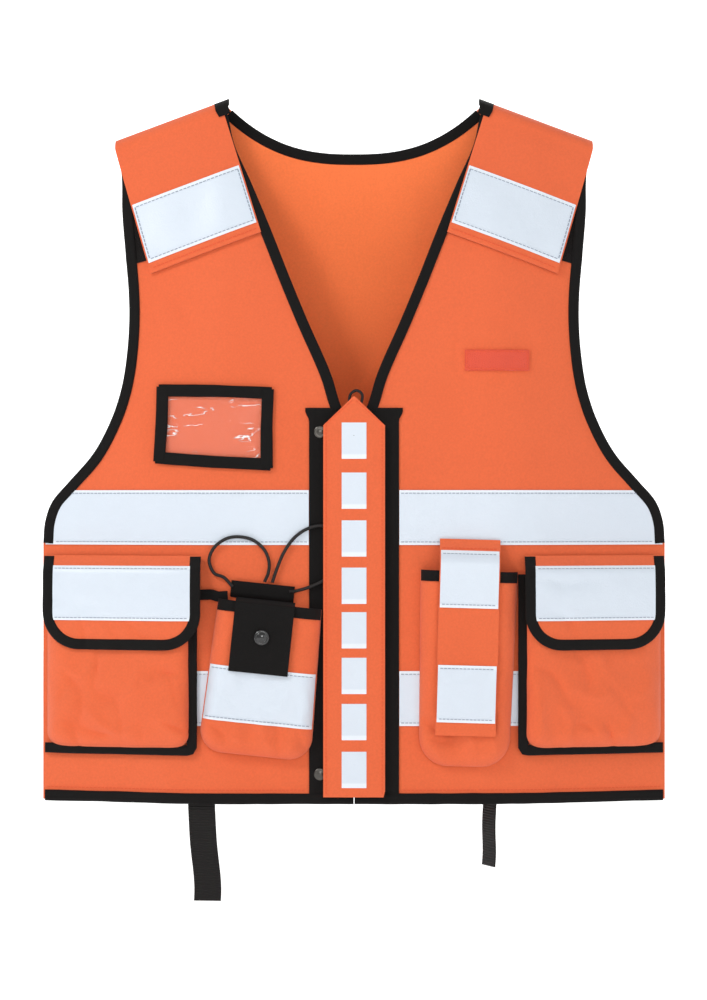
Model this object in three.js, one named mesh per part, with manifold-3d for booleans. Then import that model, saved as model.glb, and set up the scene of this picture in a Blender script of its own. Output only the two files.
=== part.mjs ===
// Blaze orange field vest, hanging from its shoulders. Millimetres, +Z up, the front faces -Y.
// The origin is midway between the two shoulder peaks. The wearer's left is +X.
import * as THREE from 'three';
import { mergeVertices } from 'three/addons/utils/BufferGeometryUtils.js';
import Module from 'manifold-3d';

const wasm = await Module();
wasm.setup();
const { lerp, smoothstep, degToRad } = THREE.MathUtils;

// ---------- driving dimensions ----------

const halfChest = 286;        // from the centre line to the side seam
const vestLength = 641;       // from the shoulder peaks to the hem
const frontDepth = 38;        // how far the front stands off the middle plane
const backDepth = 30;
const foldRadius = 8;         // how softly the flat middle turns into the slanted sides
const sideSpan = 141;         // width of the slanted stretch beside each side seam
const shoulderDrop = 170;     // height over which the vest fills out below the shoulders
const shoulderShare = 0.22;   // share of the depth that is left at the shoulder line

const clothThickness = 1.2;
const tapeThickness = 0.6;
const bindingThickness = 1.2;
const bindingWidth = 10;
const layerGap = 0.5;         // air between two draped layers
const pieceGap = 0.3;         // air between two flat pieces that touch

const neckHalf = 118;         // shoulder peak, the inner end of the shoulder line
const shoulderHalf = 218;     // outer end of the shoulder line
const shoulderFall = 37;
const backNeckDrop = 45;
const vFoot = 279;            // where the neck binding ends at the zip
const yokeInner = 124.5;      // the yoke's lower edge, at the neck and at the armhole
const yokeOuter = 155;
const seamGap = 1;

const zipHalf = 3.4;          // from the centre line to the edge of each front
const placketEdge = 41;
const placketTop = 283;
const placketThickness = 0.8;
const tapeHeight = 50;
const chestTapeTop = 356;
const waistTapeTop = 521;

const flapTopRun = 4;         // how far the shoulder flap's front starts below the fold
const flapLength = 116;
const flapFold = 3;           // height of the fold over the shoulder
const foldHalf = 6;           // half the distance between the back and the front of the fold
const patchTop = 0.52;        // the reflective patch, as shares of the flap's length
const patchBottom = 0.93;

const bandHalf = 28;
const bandTop = 270;
const bandShoulder = 297;
const bandThickness = 1.6;
const bandClearance = 0.3;    // from the band to what lies or slides under it
const sliderTop = 300;
const sliderHeight = 13;
const sliderHalf = 4.5;
const sliderThickness = 2.3;
const pullCordRadius = 1.3;
const studRadius = 5.5;
const studThickness = 1.2;
const studInset = { upper: 6, lower: 16 };   // from the band's shoulder and from its bottom

const patchCentre = 130.5;    // the name patch: its place, half its width and its height
const patchDrop = 237.5;
const patchHalf = 29.5;
const patchHeight = 19;
const patchThickness = 1.1;

const wallThickness = 1.2;
const backWall = 0.8;
const cargoCavity = 10;
const cargoBottom = 592;
const cargoOuter = 283;
const cargoCorner = 14;
const cargoInner = { left: 156.5, right: 150 };
const cargoFlapTop = 414;
const cargoFlapBottom = 501;
const cargoFlapCorner = 26;
const cargoFlapOuter = 285;
const cargoFlapInner = { left: 156.5, right: 140.5 };
const flapThickness = 1.6;

const chestPocketCavity = 12;
const pocketBinding = 10;
const radioTilt = degToRad(6);
const radioPlace = { x: -76.6, z: -460 };
const radioSize = { top: 95, bottom: 104, height: 139, corner: 22 };
const tabWidth = 54;
const tabLength = 67;
const tabBaseHeight = 14.5;
const tabBaseThickness = 4.4;
const tabStudRadius = 7.2;
const tabStudHeight = 3;
const torchTilt = degToRad(1.6);
const torchPlace = { x: 105, z: -430 };
const torchSize = { top: 89, bottom: 82, height: 178, corner: 26 };
const torchFlapRise = 31;
const torchFlapWidth = 55;
const torchFlapLength = 180;

const cordRadius = 1.5;
const cordSides = 8;
const webbingWidth = 25;
const webbingThickness = 1.6;
const tailSewn = 50;          // length of a webbing tail behind the front, above the hem
const tailLength = { left: 109, right: 140 };

// ---------- colours ----------

const orangeCloth = { color: 0xf0693f, roughness: 0.9, metalness: 0 };
const innerOrange = { color: 0xef7a47, roughness: 0.9, metalness: 0 };
const patchOrange = { color: 0xe85a3c, roughness: 0.95, metalness: 0 };
const blackCloth = { color: 0x1c1513, roughness: 0.85, metalness: 0 };
const reflective = { color: 0xe1e8f0, roughness: 0.45, metalness: 0 };
const blackPlastic = { color: 0x151313, roughness: 0.3, metalness: 0 };
const clearVinyl = { color: 0xd9dde0, roughness: 0.1, metalness: 0 };
const studMetal = { color: 0x6a6663, roughness: 0.3, metalness: 1 };

// ---------- the draped surface ----------

const sideSlope = { front: frontDepth / sideSpan, back: backDepth / sideSpan };
const slantAngle = Math.atan(sideSlope.front);

function softMin(a, b, radius) {
  const blend = Math.max(radius - Math.abs(a - b), 0) / radius;
  return Math.min(a, b) - blend * blend * radius / 4;
}

// Distance of the cloth from the middle plane: flat in the middle, slanted to the side seams,
// and drawn in towards the shoulders.
function drape(depth, slope) {
  return (x, z) => {
    const side = (halfChest + 1 - Math.abs(x)) * slope;
    const fill = lerp(shoulderShare, 1, smoothstep(-z, 0, shoulderDrop));
    return softMin(depth, side, foldRadius) * fill;
  };
}

const frontLevel = drape(frontDepth, sideSlope.front);
const backLevel = drape(backDepth, sideSlope.back);
const front = { level: frontLevel, facing: -1 };
const back = { level: backLevel, facing: 1 };

const coverOffset = clothThickness + layerGap;
const bindingOffset = coverOffset + tapeThickness + 0.4;
const bandBottom = vestLength - bindingWidth;
const slotStandoff = coverOffset + placketThickness + layerGap;
const cordStandoff = slotStandoff + cordRadius;
const bandStandoff = slotStandoff + bandClearance
  + Math.max(2 * cordRadius, sliderThickness, 2 * pullCordRadius + 0.1);

// ---------- edges ----------

// A smooth edge as half-widths at given drops below the shoulder peaks.
function edge(points) {
  const drops = points.map(([, drop]) => drop);
  const widths = points.map(([width]) => width);
  const curve = new THREE.CubicInterpolant(drops, widths, 1);
  return (z) => curve.evaluate(THREE.MathUtils.clamp(-z, drops[0], drops.at(-1)))[0];
}

const neckPoints = [[neckHalf, 4], [111, 38], [95, 75], [77, 118], [60, 161], [43.5, 201], [21.7, 251],
  [13, vFoot], [zipHalf, 300]];
const armholePoints = [[0, 0], [-5, 29], [-6, 63], [-9.5, 103], [-12.5, 138], [-13, 164], [-10.5, 198]]
  .map(([x, drop]) => [shoulderHalf + x, shoulderFall + drop])
  .concat([[73.5, 264], [64, 292], [47, 323], [24, 349], [9, 366], [2, 384], [0, 405]]
    .map(([inset, drop]) => [halfChest - inset, drop]));
const neckEdge = edge(neckPoints);
const armholeEdge = edge(armholePoints);

const shoulderLine = (x) => -shoulderFall * (Math.abs(x) - neckHalf) / (shoulderHalf - neckHalf);

function backTop(x) {
  const share = Math.min(Math.abs(x) / neckHalf, 1);
  const neckCurve = -backNeckDrop * (1 - share ** 2.6);
  return Math.abs(x) < neckHalf ? neckCurve : shoulderLine(x);
}

const hem = -vestLength;
const mirrored = (points) => points.map(([x, z]) => [-x, z]).reverse();

// ---------- builders ----------

function solidOf(geometry) {
  const bare = geometry.clone();
  bare.deleteAttribute('normal');
  bare.deleteAttribute('uv');
  const merged = mergeVertices(bare, 1e-3);
  const vertProperties = new Float32Array(merged.attributes.position.array);
  const triVerts = new Uint32Array(merged.index.array);
  return new wasm.Manifold(new wasm.Mesh({ numProp: 3, vertProperties, triVerts }));
}

function geometryOf(solid) {
  const mesh = solid.getMesh();
  const geometry = new THREE.BufferGeometry();
  geometry.setAttribute('position', new THREE.BufferAttribute(mesh.vertProperties, 3));
  geometry.setIndex(new THREE.BufferAttribute(mesh.triVerts, 1));
  return geometry;
}

function shifted(geometry, place) {
  const position = geometry.attributes.position;
  for (let i = 0; i < position.count; i++) {
    position.setXYZ(i, ...place(position.getX(i), position.getY(i), position.getZ(i)));
  }
  return geometry;
}

// A piece of cloth between four edges: left and right are functions of height, top and bottom
// of the share of the width.
function sheet({ left, right, top, bottom, cols, rows, offset, thickness, face }) {
  return shifted(new THREE.BoxGeometry(1, 1, 1, cols, 1, rows), (bx, by, bz) => {
    const u = bx + 0.5;
    const z = lerp(top(u), bottom(u), 0.5 - bz);
    const x = lerp(left(z), right(z), u);
    const depth = face.level(x, z) + offset + thickness * (0.5 + face.facing * by);
    return [x, face.facing * depth, z];
  });
}

// A strip of even width to the left of a path that is given as [x, z] points.
function ribbon({ path, width, steps, offset, thickness, face }) {
  const curve = new THREE.SplineCurve(path.map(([x, z]) => new THREE.Vector2(x, z)));
  return shifted(new THREE.BoxGeometry(1, 1, 1, 1, 1, steps), (bx, by, bz) => {
    const share = 0.5 - bz;
    const point = curve.getPointAt(share);
    const along = curve.getTangentAt(share);
    const x = point.x - along.y * width * (bx + 0.5);
    const z = point.y + along.x * width * (bx + 0.5);
    const depth = face.level(x, z) + offset + thickness * (0.5 + face.facing * by);
    return [x, face.facing * depth, z];
  });
}

// A flat plate with an outline in x and z, from one standoff to another in front of its frame.
function plate(outline, inner, outer) {
  const shape = Array.isArray(outline)
    ? new THREE.Shape(outline.map(([x, z]) => new THREE.Vector2(x, z)))
    : outline;
  const settings = { depth: outer - inner, bevelEnabled: false, curveSegments: 5 };
  return new THREE.ExtrudeGeometry(shape, settings).rotateX(Math.PI / 2).translate(0, -inner, 0);
}

const block = (left, right, low, high) => [[left, low], [right, low], [right, high], [left, high]];

// A plate that hangs from z = 0 in front of a pocket, with a leg along its top that reaches back
// to the cloth, square to the plate or slanted at 45 degrees.
function leggedPlate(outline, { width, foot, standoff, thickness, slanted = true, extra = 0 }) {
  const skew = slanted ? Math.SQRT2 : 1;
  const fall = slanted ? standoff - foot : 0;
  const outerFall = slanted ? fall + thickness + extra : 0;
  const low = -400;
  const profile = new THREE.Shape([
    new THREE.Vector2(-foot, 0),
    new THREE.Vector2(-foot, -thickness * skew),
    new THREE.Vector2(-standoff, -thickness * skew - fall),
    new THREE.Vector2(-standoff, low),
    new THREE.Vector2(-standoff - thickness - extra, low),
    new THREE.Vector2(-standoff - thickness - extra, -outerFall),
  ]);
  const settings = { depth: width, bevelEnabled: false };
  const across = new THREE.Matrix4().makeBasis(
    new THREE.Vector3(0, 1, 0), new THREE.Vector3(0, 0, 1), new THREE.Vector3(1, 0, 0));
  const bent = new THREE.ExtrudeGeometry(profile, settings).applyMatrix4(across);
  bent.translate(-width / 2, 0, 0);
  return solidOf(bent).intersect(solidOf(plate(outline, 0, 60)));
}

// The outline of a pocket that hangs from z = 0, with rounded lower corners.
function pocketOutline({ top, bottom, height, corner }, inset = 0, rise = 0) {
  const shape = new THREE.Shape();
  const upper = top / 2 - inset;
  const lower = bottom / 2 - inset;
  const floor = inset - height;
  shape.moveTo(upper, rise);
  shape.lineTo(-upper, rise);
  shape.lineTo(-lower, floor + corner);
  shape.quadraticCurveTo(-lower, floor, corner - lower, floor);
  shape.lineTo(lower - corner, floor);
  shape.quadraticCurveTo(lower, floor, lower, floor + corner);
  return shape;
}

// An open-topped pocket. Its front wall stops short of the top by the height of its binding.
function pocket(size, back, cavity, binding = 0) {
  const inside = back + backWall;
  const outside = inside + cavity + wallThickness;
  let solid = solidOf(plate(pocketOutline(size), back, outside));
  const hollow = plate(pocketOutline(size, wallThickness, 20), inside, inside + cavity);
  solid = solid.subtract(solidOf(hollow));
  if (binding > 0) {
    const reach = size.bottom;
    const notch = block(-reach, reach, -binding - pieceGap, 20);
    solid = solid.subtract(solidOf(plate(notch, inside + cavity - 0.4, outside + 1)));
  }
  return geometryOf(solid);
}

// A round cord through points at one standoff from the flat front.
function cord(points, radius, steps, standoff) {
  const depth = -(frontDepth + standoff);
  const route = new THREE.CatmullRomCurve3(points.map(([x, z]) => new THREE.Vector3(x, depth, z)));
  const section = new THREE.Shape();
  for (let i = 0; i < cordSides; i++) {
    const angle = i * 2 * Math.PI / cordSides;
    const corner = [radius * Math.cos(angle), radius * Math.sin(angle)];
    if (i === 0) section.moveTo(...corner);
    else section.lineTo(...corner);
  }
  return new THREE.ExtrudeGeometry(section, { steps, extrudePath: route, bevelEnabled: false });
}

const disc = (radius, inner, thickness, sides = 20) => new THREE.CylinderGeometry(
  radius, radius, thickness, sides).translate(0, -inner - thickness / 2, 0);

const vest = new THREE.Group();

function add(name, geometry, finish, parent = vest) {
  const mesh = new THREE.Mesh(geometry, new THREE.MeshStandardMaterial(finish));
  mesh.name = name;
  parent.add(mesh);
  return mesh;
}

const sides = [['left', 1], ['right', -1]];

// A sheet on one side of the vest: the edges are given for +X and mirrored for -X.
function sideSheet(sign, { inner, outer, top, bottom, ...rest }) {
  const across = (u) => (sign > 0 ? u : 1 - u);
  return sheet({
    left: (z) => (sign > 0 ? inner(z) : -outer(z)),
    right: (z) => (sign > 0 ? outer(z) : -inner(z)),
    top: (u) => top(across(u)),
    bottom: (u) => bottom(across(u)),
    ...rest,
  });
}

// ---------- back ----------

function makeBack() {
  const halfWidth = (z) => armholeEdge(z);
  const topAt = (u) => backTop((2 * u - 1) * shoulderHalf);
  const cloth = { offset: 0, thickness: clothThickness, face: back };
  add('back_panel', sheet({
    left: (z) => -halfWidth(z), right: halfWidth, top: topAt, bottom: () => hem, cols: 20, rows: 16, ...cloth,
  }), innerOrange);
  for (const [name, top] of [['back_chest_tape', chestTapeTop], ['back_waist_tape', waistTapeTop]]) {
    add(name, sheet({
      left: (z) => -halfWidth(z), right: halfWidth, top: () => -top, bottom: () => -top - tapeHeight,
      cols: 24, rows: 3, offset: coverOffset, thickness: tapeThickness, face: back,
    }), reflective);
  }
  const bound = { width: bindingWidth, offset: bindingOffset, thickness: bindingThickness, face: back };
  const neckPath = [];
  for (let x = 112; x >= -112; x -= 16) neckPath.push([x, backTop(x)]);
  add('back_neck_binding', ribbon({ path: neckPath, steps: 14, ...bound }), blackCloth);
  const armholePath = armholePoints.map(([x, drop]) => [x, -drop]).reverse();
  add('back_armhole_binding_left', ribbon({ path: armholePath, steps: 20, ...bound }), blackCloth);
  add('back_armhole_binding_right', ribbon({ path: mirrored(armholePath), steps: 20, ...bound }), blackCloth);
  const hemPath = [[-halfChest, hem], [0, hem], [halfChest, hem]];
  add('back_hem_binding', ribbon({ path: hemPath, steps: 24, ...bound }), blackCloth);
}

// ---------- shoulders ----------

// A shoulder flap runs from the back over the shoulder line and down the front.
function shoulderFlap(sign, { from, to, side = [0, 1], offset, thickness, cols, rows }) {
  const run = (share) => Math.max((share - 0.12) / 0.88, 0);
  return shifted(new THREE.BoxGeometry(1, 1, 1, cols, 1, rows), (bx, by, bz) => {
    const along = lerp(side[0], side[1], sign > 0 ? bx + 0.5 : 0.5 - bx);
    const share = lerp(from, to, 0.5 - bz);
    const lift = offset + thickness * (0.5 - by);
    const topX = lerp(neckHalf, shoulderHalf - 2, along);
    const fold = Math.PI * Math.min(share / 0.12, 1);
    const x = topX + lerp(-33, -34, along) * run(share);
    const turn = (1 - Math.cos(fold)) / 2;
    const foldBase = shoulderLine(topX) + lerp(seamGap, -flapTopRun, turn);
    const z = foldBase - flapLength * run(share) + (lift + flapFold) * Math.sin(fold);
    const depth = share < 0.12
      ? lerp(-foldHalf - lift, frontLevel(x, z) + lift, turn)
      : frontLevel(x, z) + lift;
    return [sign * x, -depth, z];
  });
}

function makeShoulders(name, sign) {
  add(`yoke_${name}`, sideSheet(sign, {
    inner: neckEdge, outer: armholeEdge,
    top: (u) => shoulderLine(lerp(neckHalf, shoulderHalf, u)) - flapTopRun,
    bottom: (u) => -lerp(yokeInner, yokeOuter, u),
    cols: 6, rows: 7, offset: 0, thickness: clothThickness, face: front,
  }), blackCloth);
  const flapOffset = clothThickness + 1;
  add(`shoulder_flap_${name}`, shoulderFlap(sign, {
    from: 0, to: 1, offset: flapOffset, thickness: flapThickness, cols: 5, rows: 16,
  }), orangeCloth);
  add(`shoulder_patch_${name}`, shoulderFlap(sign, {
    from: patchTop, to: patchBottom, side: [0.01, 0.99], offset: flapOffset + flapThickness + layerGap,
    thickness: tapeThickness, cols: 5, rows: 6,
  }), reflective);
}

// ---------- fronts ----------

function makeFront(name, sign) {
  const inner = (z) => Math.max(neckEdge(z), zipHalf);
  const cloth = { offset: 0, thickness: clothThickness, face: front };
  add(`front_panel_${name}`, sideSheet(sign, {
    inner, outer: armholeEdge,
    top: (u) => -lerp(yokeInner, yokeOuter, u) - seamGap, bottom: () => hem,
    cols: 10, rows: 17, ...cloth,
  }), orangeCloth);
  for (const [tape, top] of [['chest', chestTapeTop], ['waist', waistTapeTop]]) {
    add(`${tape}_tape_${name}`, sideSheet(sign, {
      inner: () => placketEdge + pieceGap, outer: armholeEdge,
      top: () => -top, bottom: () => -top - tapeHeight,
      cols: 12, rows: 3, offset: coverOffset, thickness: tapeThickness, face: front,
    }), reflective);
  }
  add(`placket_${name}`, sideSheet(sign, {
    inner, outer: () => placketEdge,
    top: () => -placketTop, bottom: () => hem + bindingWidth,
    cols: 2, rows: 14, offset: coverOffset, thickness: placketThickness, face: front,
  }), blackCloth);
  add(`zip_coil_${name}`, sideSheet(sign, {
    inner: () => pieceGap / 2, outer: () => zipHalf - pieceGap,
    top: () => -sliderTop - 1, bottom: () => hem + 6,
    cols: 1, rows: 1, offset: 0, thickness: 2.4, face: front,
  }), blackPlastic);

  const bound = { width: bindingWidth, offset: bindingOffset, thickness: bindingThickness, face: front };
  const seamAtNeck = yokeInner + seamGap;
  const neckPath = [seamAtNeck, ...neckPoints.map(([, drop]) => drop).filter((drop) => drop > 150)]
    .filter((drop) => drop <= vFoot).map((drop) => [neckEdge(-drop), -drop]);
  const seamAtArm = yokeOuter + seamGap;
  const armholePath = [...armholePoints.filter(([, drop]) => drop > seamAtArm + 5).reverse(),
    [armholeEdge(-seamAtArm - 2), seamAtArm + 2]].map(([x, drop]) => [x, -drop]);
  const hemPath = [[zipHalf, hem], [halfChest / 2, hem], [halfChest, hem]];
  const turned = (path) => (sign > 0 ? path : mirrored(path));
  add(`neck_binding_${name}`, ribbon({ path: turned(neckPath), steps: 8, ...bound }), blackCloth);
  add(`armhole_binding_${name}`, ribbon({ path: turned(armholePath), steps: 16, ...bound }), blackCloth);
  add(`hem_binding_${name}`, ribbon({ path: turned(hemPath), steps: 12, ...bound }), blackCloth);
}

// ---------- centre band and zip ----------

function makeBand() {
  const outline = [[-bandHalf, -bandBottom], [bandHalf, -bandBottom], [bandHalf, -bandShoulder],
    [0, -bandTop], [-bandHalf, -bandShoulder]];
  const foot = bindingOffset + bindingThickness + pieceGap;
  const face = plate(outline, bandStandoff, bandStandoff + bandThickness);
  const leg = plate(block(bandHalf - 1.6, bandHalf, -bandBottom, -bandShoulder), foot, bandStandoff + 0.5);
  const band = add('centre_band', geometryOf(solidOf(face).add(solidOf(leg))), orangeCloth);
  band.position.y = -frontDepth;
  const studDrops = { upper: bandShoulder + studInset.upper, lower: bandBottom - studInset.lower };
  for (const [name, drop] of Object.entries(studDrops)) {
    const stud = add(`band_stud_${name}`,
      disc(studRadius, coverOffset + placketThickness + pieceGap, studThickness, 16), studMetal);
    stud.position.set(-bandHalf - 3, -frontDepth, -drop);
  }
}

function makeZip() {
  const outline = [[-sliderHalf, -sliderTop], [-sliderHalf * 0.6, -sliderTop - sliderHeight],
    [sliderHalf * 0.6, -sliderTop - sliderHeight], [sliderHalf, -sliderTop]];
  const slider = add('zip_slider', plate(outline, slotStandoff, slotStandoff + sliderThickness), blackPlastic);
  slider.position.y = -frontDepth;
  const pull = [[-2.2, -sliderTop + pieceGap], [-3.4, -288], [-4.4, -276], [-3, -268.5], [2.4, -265.3],
    [7.4, -269], [6.6, -277], [4, -289], [2.2, -sliderTop + pieceGap]];
  add('zip_pull_cord', cord(pull, pullCordRadius, 26, slotStandoff + pullCordRadius + 0.1), blackCloth);
}

// ---------- cargo pockets ----------

// Half the surface width, and the frame that lies on the slanted side of the front.
function makeCargo(name, sign) {
  const middle = (cargoOuter + cargoInner[name]) / 2;
  const onSlant = (x) => (x - middle) / Math.cos(slantAngle);
  const frame = new THREE.Group();
  frame.position.set(sign * middle, -(halfChest + 1 - middle) * sideSlope.front, 0);
  frame.rotation.z = sign * slantAngle;
  vest.add(frame);

  const width = 2 * onSlant(cargoOuter);
  const rear = coverOffset + tapeThickness + pieceGap;
  const standoff = rear + backWall + cargoCavity + wallThickness + layerGap;
  const mouth = cargoFlapTop + flapThickness * Math.SQRT2 + standoff - rear;
  const size = { top: width, bottom: width, height: cargoBottom - mouth, corner: cargoCorner };
  const body = add(`cargo_pocket_${name}`, pocket(size, rear, cargoCavity), orangeCloth, frame);
  body.position.z = -mouth;

  const near = onSlant(cargoFlapInner[name]);
  const far = onSlant(cargoFlapOuter);
  const height = cargoFlapBottom - cargoFlapTop;
  const flapSize = { top: far - near, bottom: far - near, height, corner: cargoFlapCorner };
  const legged = { width: far - near + 2, foot: rear, standoff, thickness: flapThickness };
  const inset = bindingWidth - 1;
  const innerSize = { ...flapSize, height: height - inset, corner: cargoFlapCorner - 8,
    top: flapSize.top - 2 * inset, bottom: flapSize.bottom - 2 * inset };
  const flapFrame = new THREE.Group();
  flapFrame.position.set(sign * (near + far) / 2, 0, -cargoFlapTop);
  frame.add(flapFrame);

  const shrunk = (by) => pocketOutline({ ...innerSize, top: innerSize.top - 2 * by,
    bottom: innerSize.bottom - 2 * by, height: innerSize.height - by });
  add(`cargo_flap_${name}`, geometryOf(leggedPlate(shrunk(pieceGap), legged)), orangeCloth, flapFrame);
  const hole = pocketOutline(innerSize, 0, 2);
  const rim = leggedPlate(pocketOutline(flapSize), { ...legged, extra: 0.6 });
  const binding = rim.subtract(solidOf(plate(hole, 0, 60)));
  add(`cargo_flap_binding_${name}`, geometryOf(binding), blackCloth, flapFrame);
  const tapeHalf = innerSize.top / 2 - 1.5;
  const tapeOuter = standoff + flapThickness + pieceGap;
  const tape = block(-tapeHalf, tapeHalf, -10 - tapeHeight, -10);
  add(`cargo_flap_tape_${name}`, plate(tape, tapeOuter, tapeOuter + tapeThickness), reflective, flapFrame);
}

// ---------- radio pocket ----------

function makeRadioPocket() {
  const frame = new THREE.Group();
  frame.position.set(radioPlace.x, -frontDepth, radioPlace.z);
  frame.rotation.y = radioTilt;
  vest.add(frame);
  const rear = coverOffset + tapeThickness + pieceGap;
  const face = rear + backWall + chestPocketCavity + wallThickness;
  add('radio_pocket', pocket(radioSize, rear, chestPocketCavity, pocketBinding), orangeCloth, frame);
  const strip = block(-radioSize.top / 2, radioSize.top / 2, -pocketBinding, 0);
  const bindingFace = face + 0.6;
  add('radio_pocket_binding', plate(strip, face - wallThickness, bindingFace), blackCloth, frame);
  const tapeTop = -59;
  const tape = block(-radioSize.bottom / 2 + 1, radioSize.bottom / 2 - 1, tapeTop - tapeHeight, tapeTop);
  add('radio_pocket_tape', plate(tape, face + pieceGap, face + pieceGap + tapeThickness), reflective, frame);

  const tabCentre = -4;
  const tabTop = 3.8;
  const base = block(tabCentre - tabWidth / 2 - 6, tabCentre + tabWidth / 2 - 2, tabTop + pieceGap,
    tabTop + tabBaseHeight);
  add('radio_tab_base', plate(base, coverOffset, coverOffset + tabBaseThickness), blackCloth, frame);
  const standoff = face + pieceGap + tapeThickness + layerGap;
  const tab = new THREE.Group();
  tab.position.set(tabCentre, 0, tabTop);
  frame.add(tab);
  const outline = block(-tabWidth / 2, tabWidth / 2, -tabLength, 0);
  const foot = coverOffset + tabBaseThickness + pieceGap;
  const legged = { width: tabWidth, foot, standoff, thickness: flapThickness, slanted: false };
  add('radio_tab', geometryOf(leggedPlate(outline, legged)), blackCloth, tab);
  const cap = add('radio_tab_stud', disc(tabStudRadius, standoff + flapThickness + pieceGap, tabStudHeight, 24),
    blackPlastic, tab);
  cap.position.z = -34;
}

// ---------- torch pocket ----------

function makeTorchPocket() {
  const frame = new THREE.Group();
  frame.position.set(torchPlace.x, -frontDepth, torchPlace.z);
  frame.rotation.y = torchTilt;
  vest.add(frame);
  const rear = coverOffset + tapeThickness + pieceGap;
  const face = rear + backWall + chestPocketCavity + wallThickness;
  add('torch_pocket', pocket(torchSize, rear, chestPocketCavity, pocketBinding), orangeCloth, frame);
  const strip = block(-torchSize.top / 2, torchSize.top / 2, -pocketBinding, 0);
  const bindingFace = face + 0.6;
  add('torch_pocket_binding', plate(strip, face - wallThickness, bindingFace), blackCloth, frame);

  const flap = new THREE.Group();
  flap.position.z = torchFlapRise;
  frame.add(flap);
  const standoff = bindingFace + layerGap;
  const outline = block(-torchFlapWidth / 2, torchFlapWidth / 2, -torchFlapLength, 0);
  const legged = { width: torchFlapWidth, foot: rear, standoff, thickness: flapThickness };
  add('torch_flap', geometryOf(leggedPlate(outline, legged)), orangeCloth, flap);
  const tapeFace = standoff + flapThickness + pieceGap;
  for (const [name, top] of [['upper', -12], ['lower', -116]]) {
    const patch = block(-torchFlapWidth / 2 + 1, torchFlapWidth / 2 - 1, top - tapeHeight - 2, top);
    add(`torch_flap_tape_${name}`, plate(patch, tapeFace, tapeFace + tapeThickness), reflective, flap);
  }
}

// ---------- small pieces on the chest and hem ----------

function makeChestPieces() {
  const inner = (z) => lerp(74, 76, (-z - 262) / 76);
  const outer = (z) => lerp(178, 181, (-z - 262) / 76);
  const holder = { top: (u) => -lerp(266, 260.5, u), bottom: (u) => -lerp(338, 329.5, u) };
  const frame = sideSheet(-1, { inner, outer, ...holder, cols: 6, rows: 2,
    offset: coverOffset, thickness: 2, face: front });
  const rim = 11;
  const inset = (gap) => ({
    inner: (z) => inner(z) + rim + gap, outer: (z) => outer(z) - rim - gap,
    top: (u) => holder.top(u) - rim - gap, bottom: (u) => holder.bottom(u) + rim + gap,
  });
  const hole = sideSheet(-1, { ...inset(0), cols: 6, rows: 2, offset: -4, thickness: 14, face: front });
  add('id_holder_frame', geometryOf(solidOf(frame).subtract(solidOf(hole))), blackCloth);
  add('id_holder_window', sideSheet(-1, { ...inset(pieceGap), cols: 6, rows: 2,
    offset: coverOffset, thickness: 0.6, face: front }), clearVinyl);

  const patch = new THREE.Group();
  const levelAt = (share) => frontLevel(patchCentre + share * patchHalf, -patchDrop);
  const tilt = (levelAt(-1) - levelAt(1)) / 2;
  const rise = Math.max(...[-1, -0.5, 0, 0.5, 1].map((share) => levelAt(share) + share * tilt));
  patch.position.set(patchCentre, -rise, -patchDrop);
  patch.rotation.z = Math.atan(tilt / patchHalf);
  vest.add(patch);
  const outline = block(-patchHalf, patchHalf, -patchHeight / 2, patchHeight / 2);
  add('name_patch', plate(outline, coverOffset, coverOffset + patchThickness), patchOrange, patch);
}

// The cord loops of the radio tab: one lies on the chest, the other runs under the centre band.
function makeCords() {
  const chestLoop = [[-118.5, -435.5], [-127.5, -431.5], [-132, -420], [-127.5, -408.5], [-117, -400.5],
    [-105, -398.5], [-92, -401.5], [-82, -410], [-77.5, -421], [-78, -431], [-81.5, -439.6]];
  add('radio_cord_loop', cord(chestLoop, cordRadius, 26, cordStandoff), blackCloth);
  const bandLoop = [[-74.5, -440.2], [-70, -427], [-63.5, -412], [-54, -399], [-42, -391], [-29, -388.5],
    [-19, -395], [-14.5, -409], [-16.5, -425], [-26, -437], [-40, -444], [-51.5, -447.5]];
  add('band_cord_loop', cord(bandLoop, cordRadius, 30, cordStandoff), blackCloth);
}

// Webbing tails that hang from the inside of the fronts, past the hem.
function makeTails() {
  const inside = -(webbingThickness + layerGap);
  const top = hem + tailSewn;
  for (const [name, sign, upper, lower] of [['left', 1, 124, 122], ['right', -1, 139.5, 134.5]]) {
    const middle = (z) => lerp(upper, lower, (top - z) / tailLength[name]);
    add(`webbing_tail_${name}`, sideSheet(sign, {
      inner: (z) => middle(z) - webbingWidth / 2, outer: (z) => middle(z) + webbingWidth / 2,
      top: () => top, bottom: () => top - tailLength[name], cols: 2, rows: 4,
      offset: inside, thickness: webbingThickness, face: front,
    }), blackCloth);
  }
}

makeBack();
for (const [name, sign] of sides) {
  makeShoulders(name, sign);
  makeFront(name, sign);
  makeCargo(name, sign);
}
makeBand();
makeZip();
makeRadioPocket();
makeTorchPocket();
makeChestPieces();
makeCords();
makeTails();

export default vest;
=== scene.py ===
import bpy, bmesh, math
from mathutils import Matrix, Vector, noise


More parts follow.
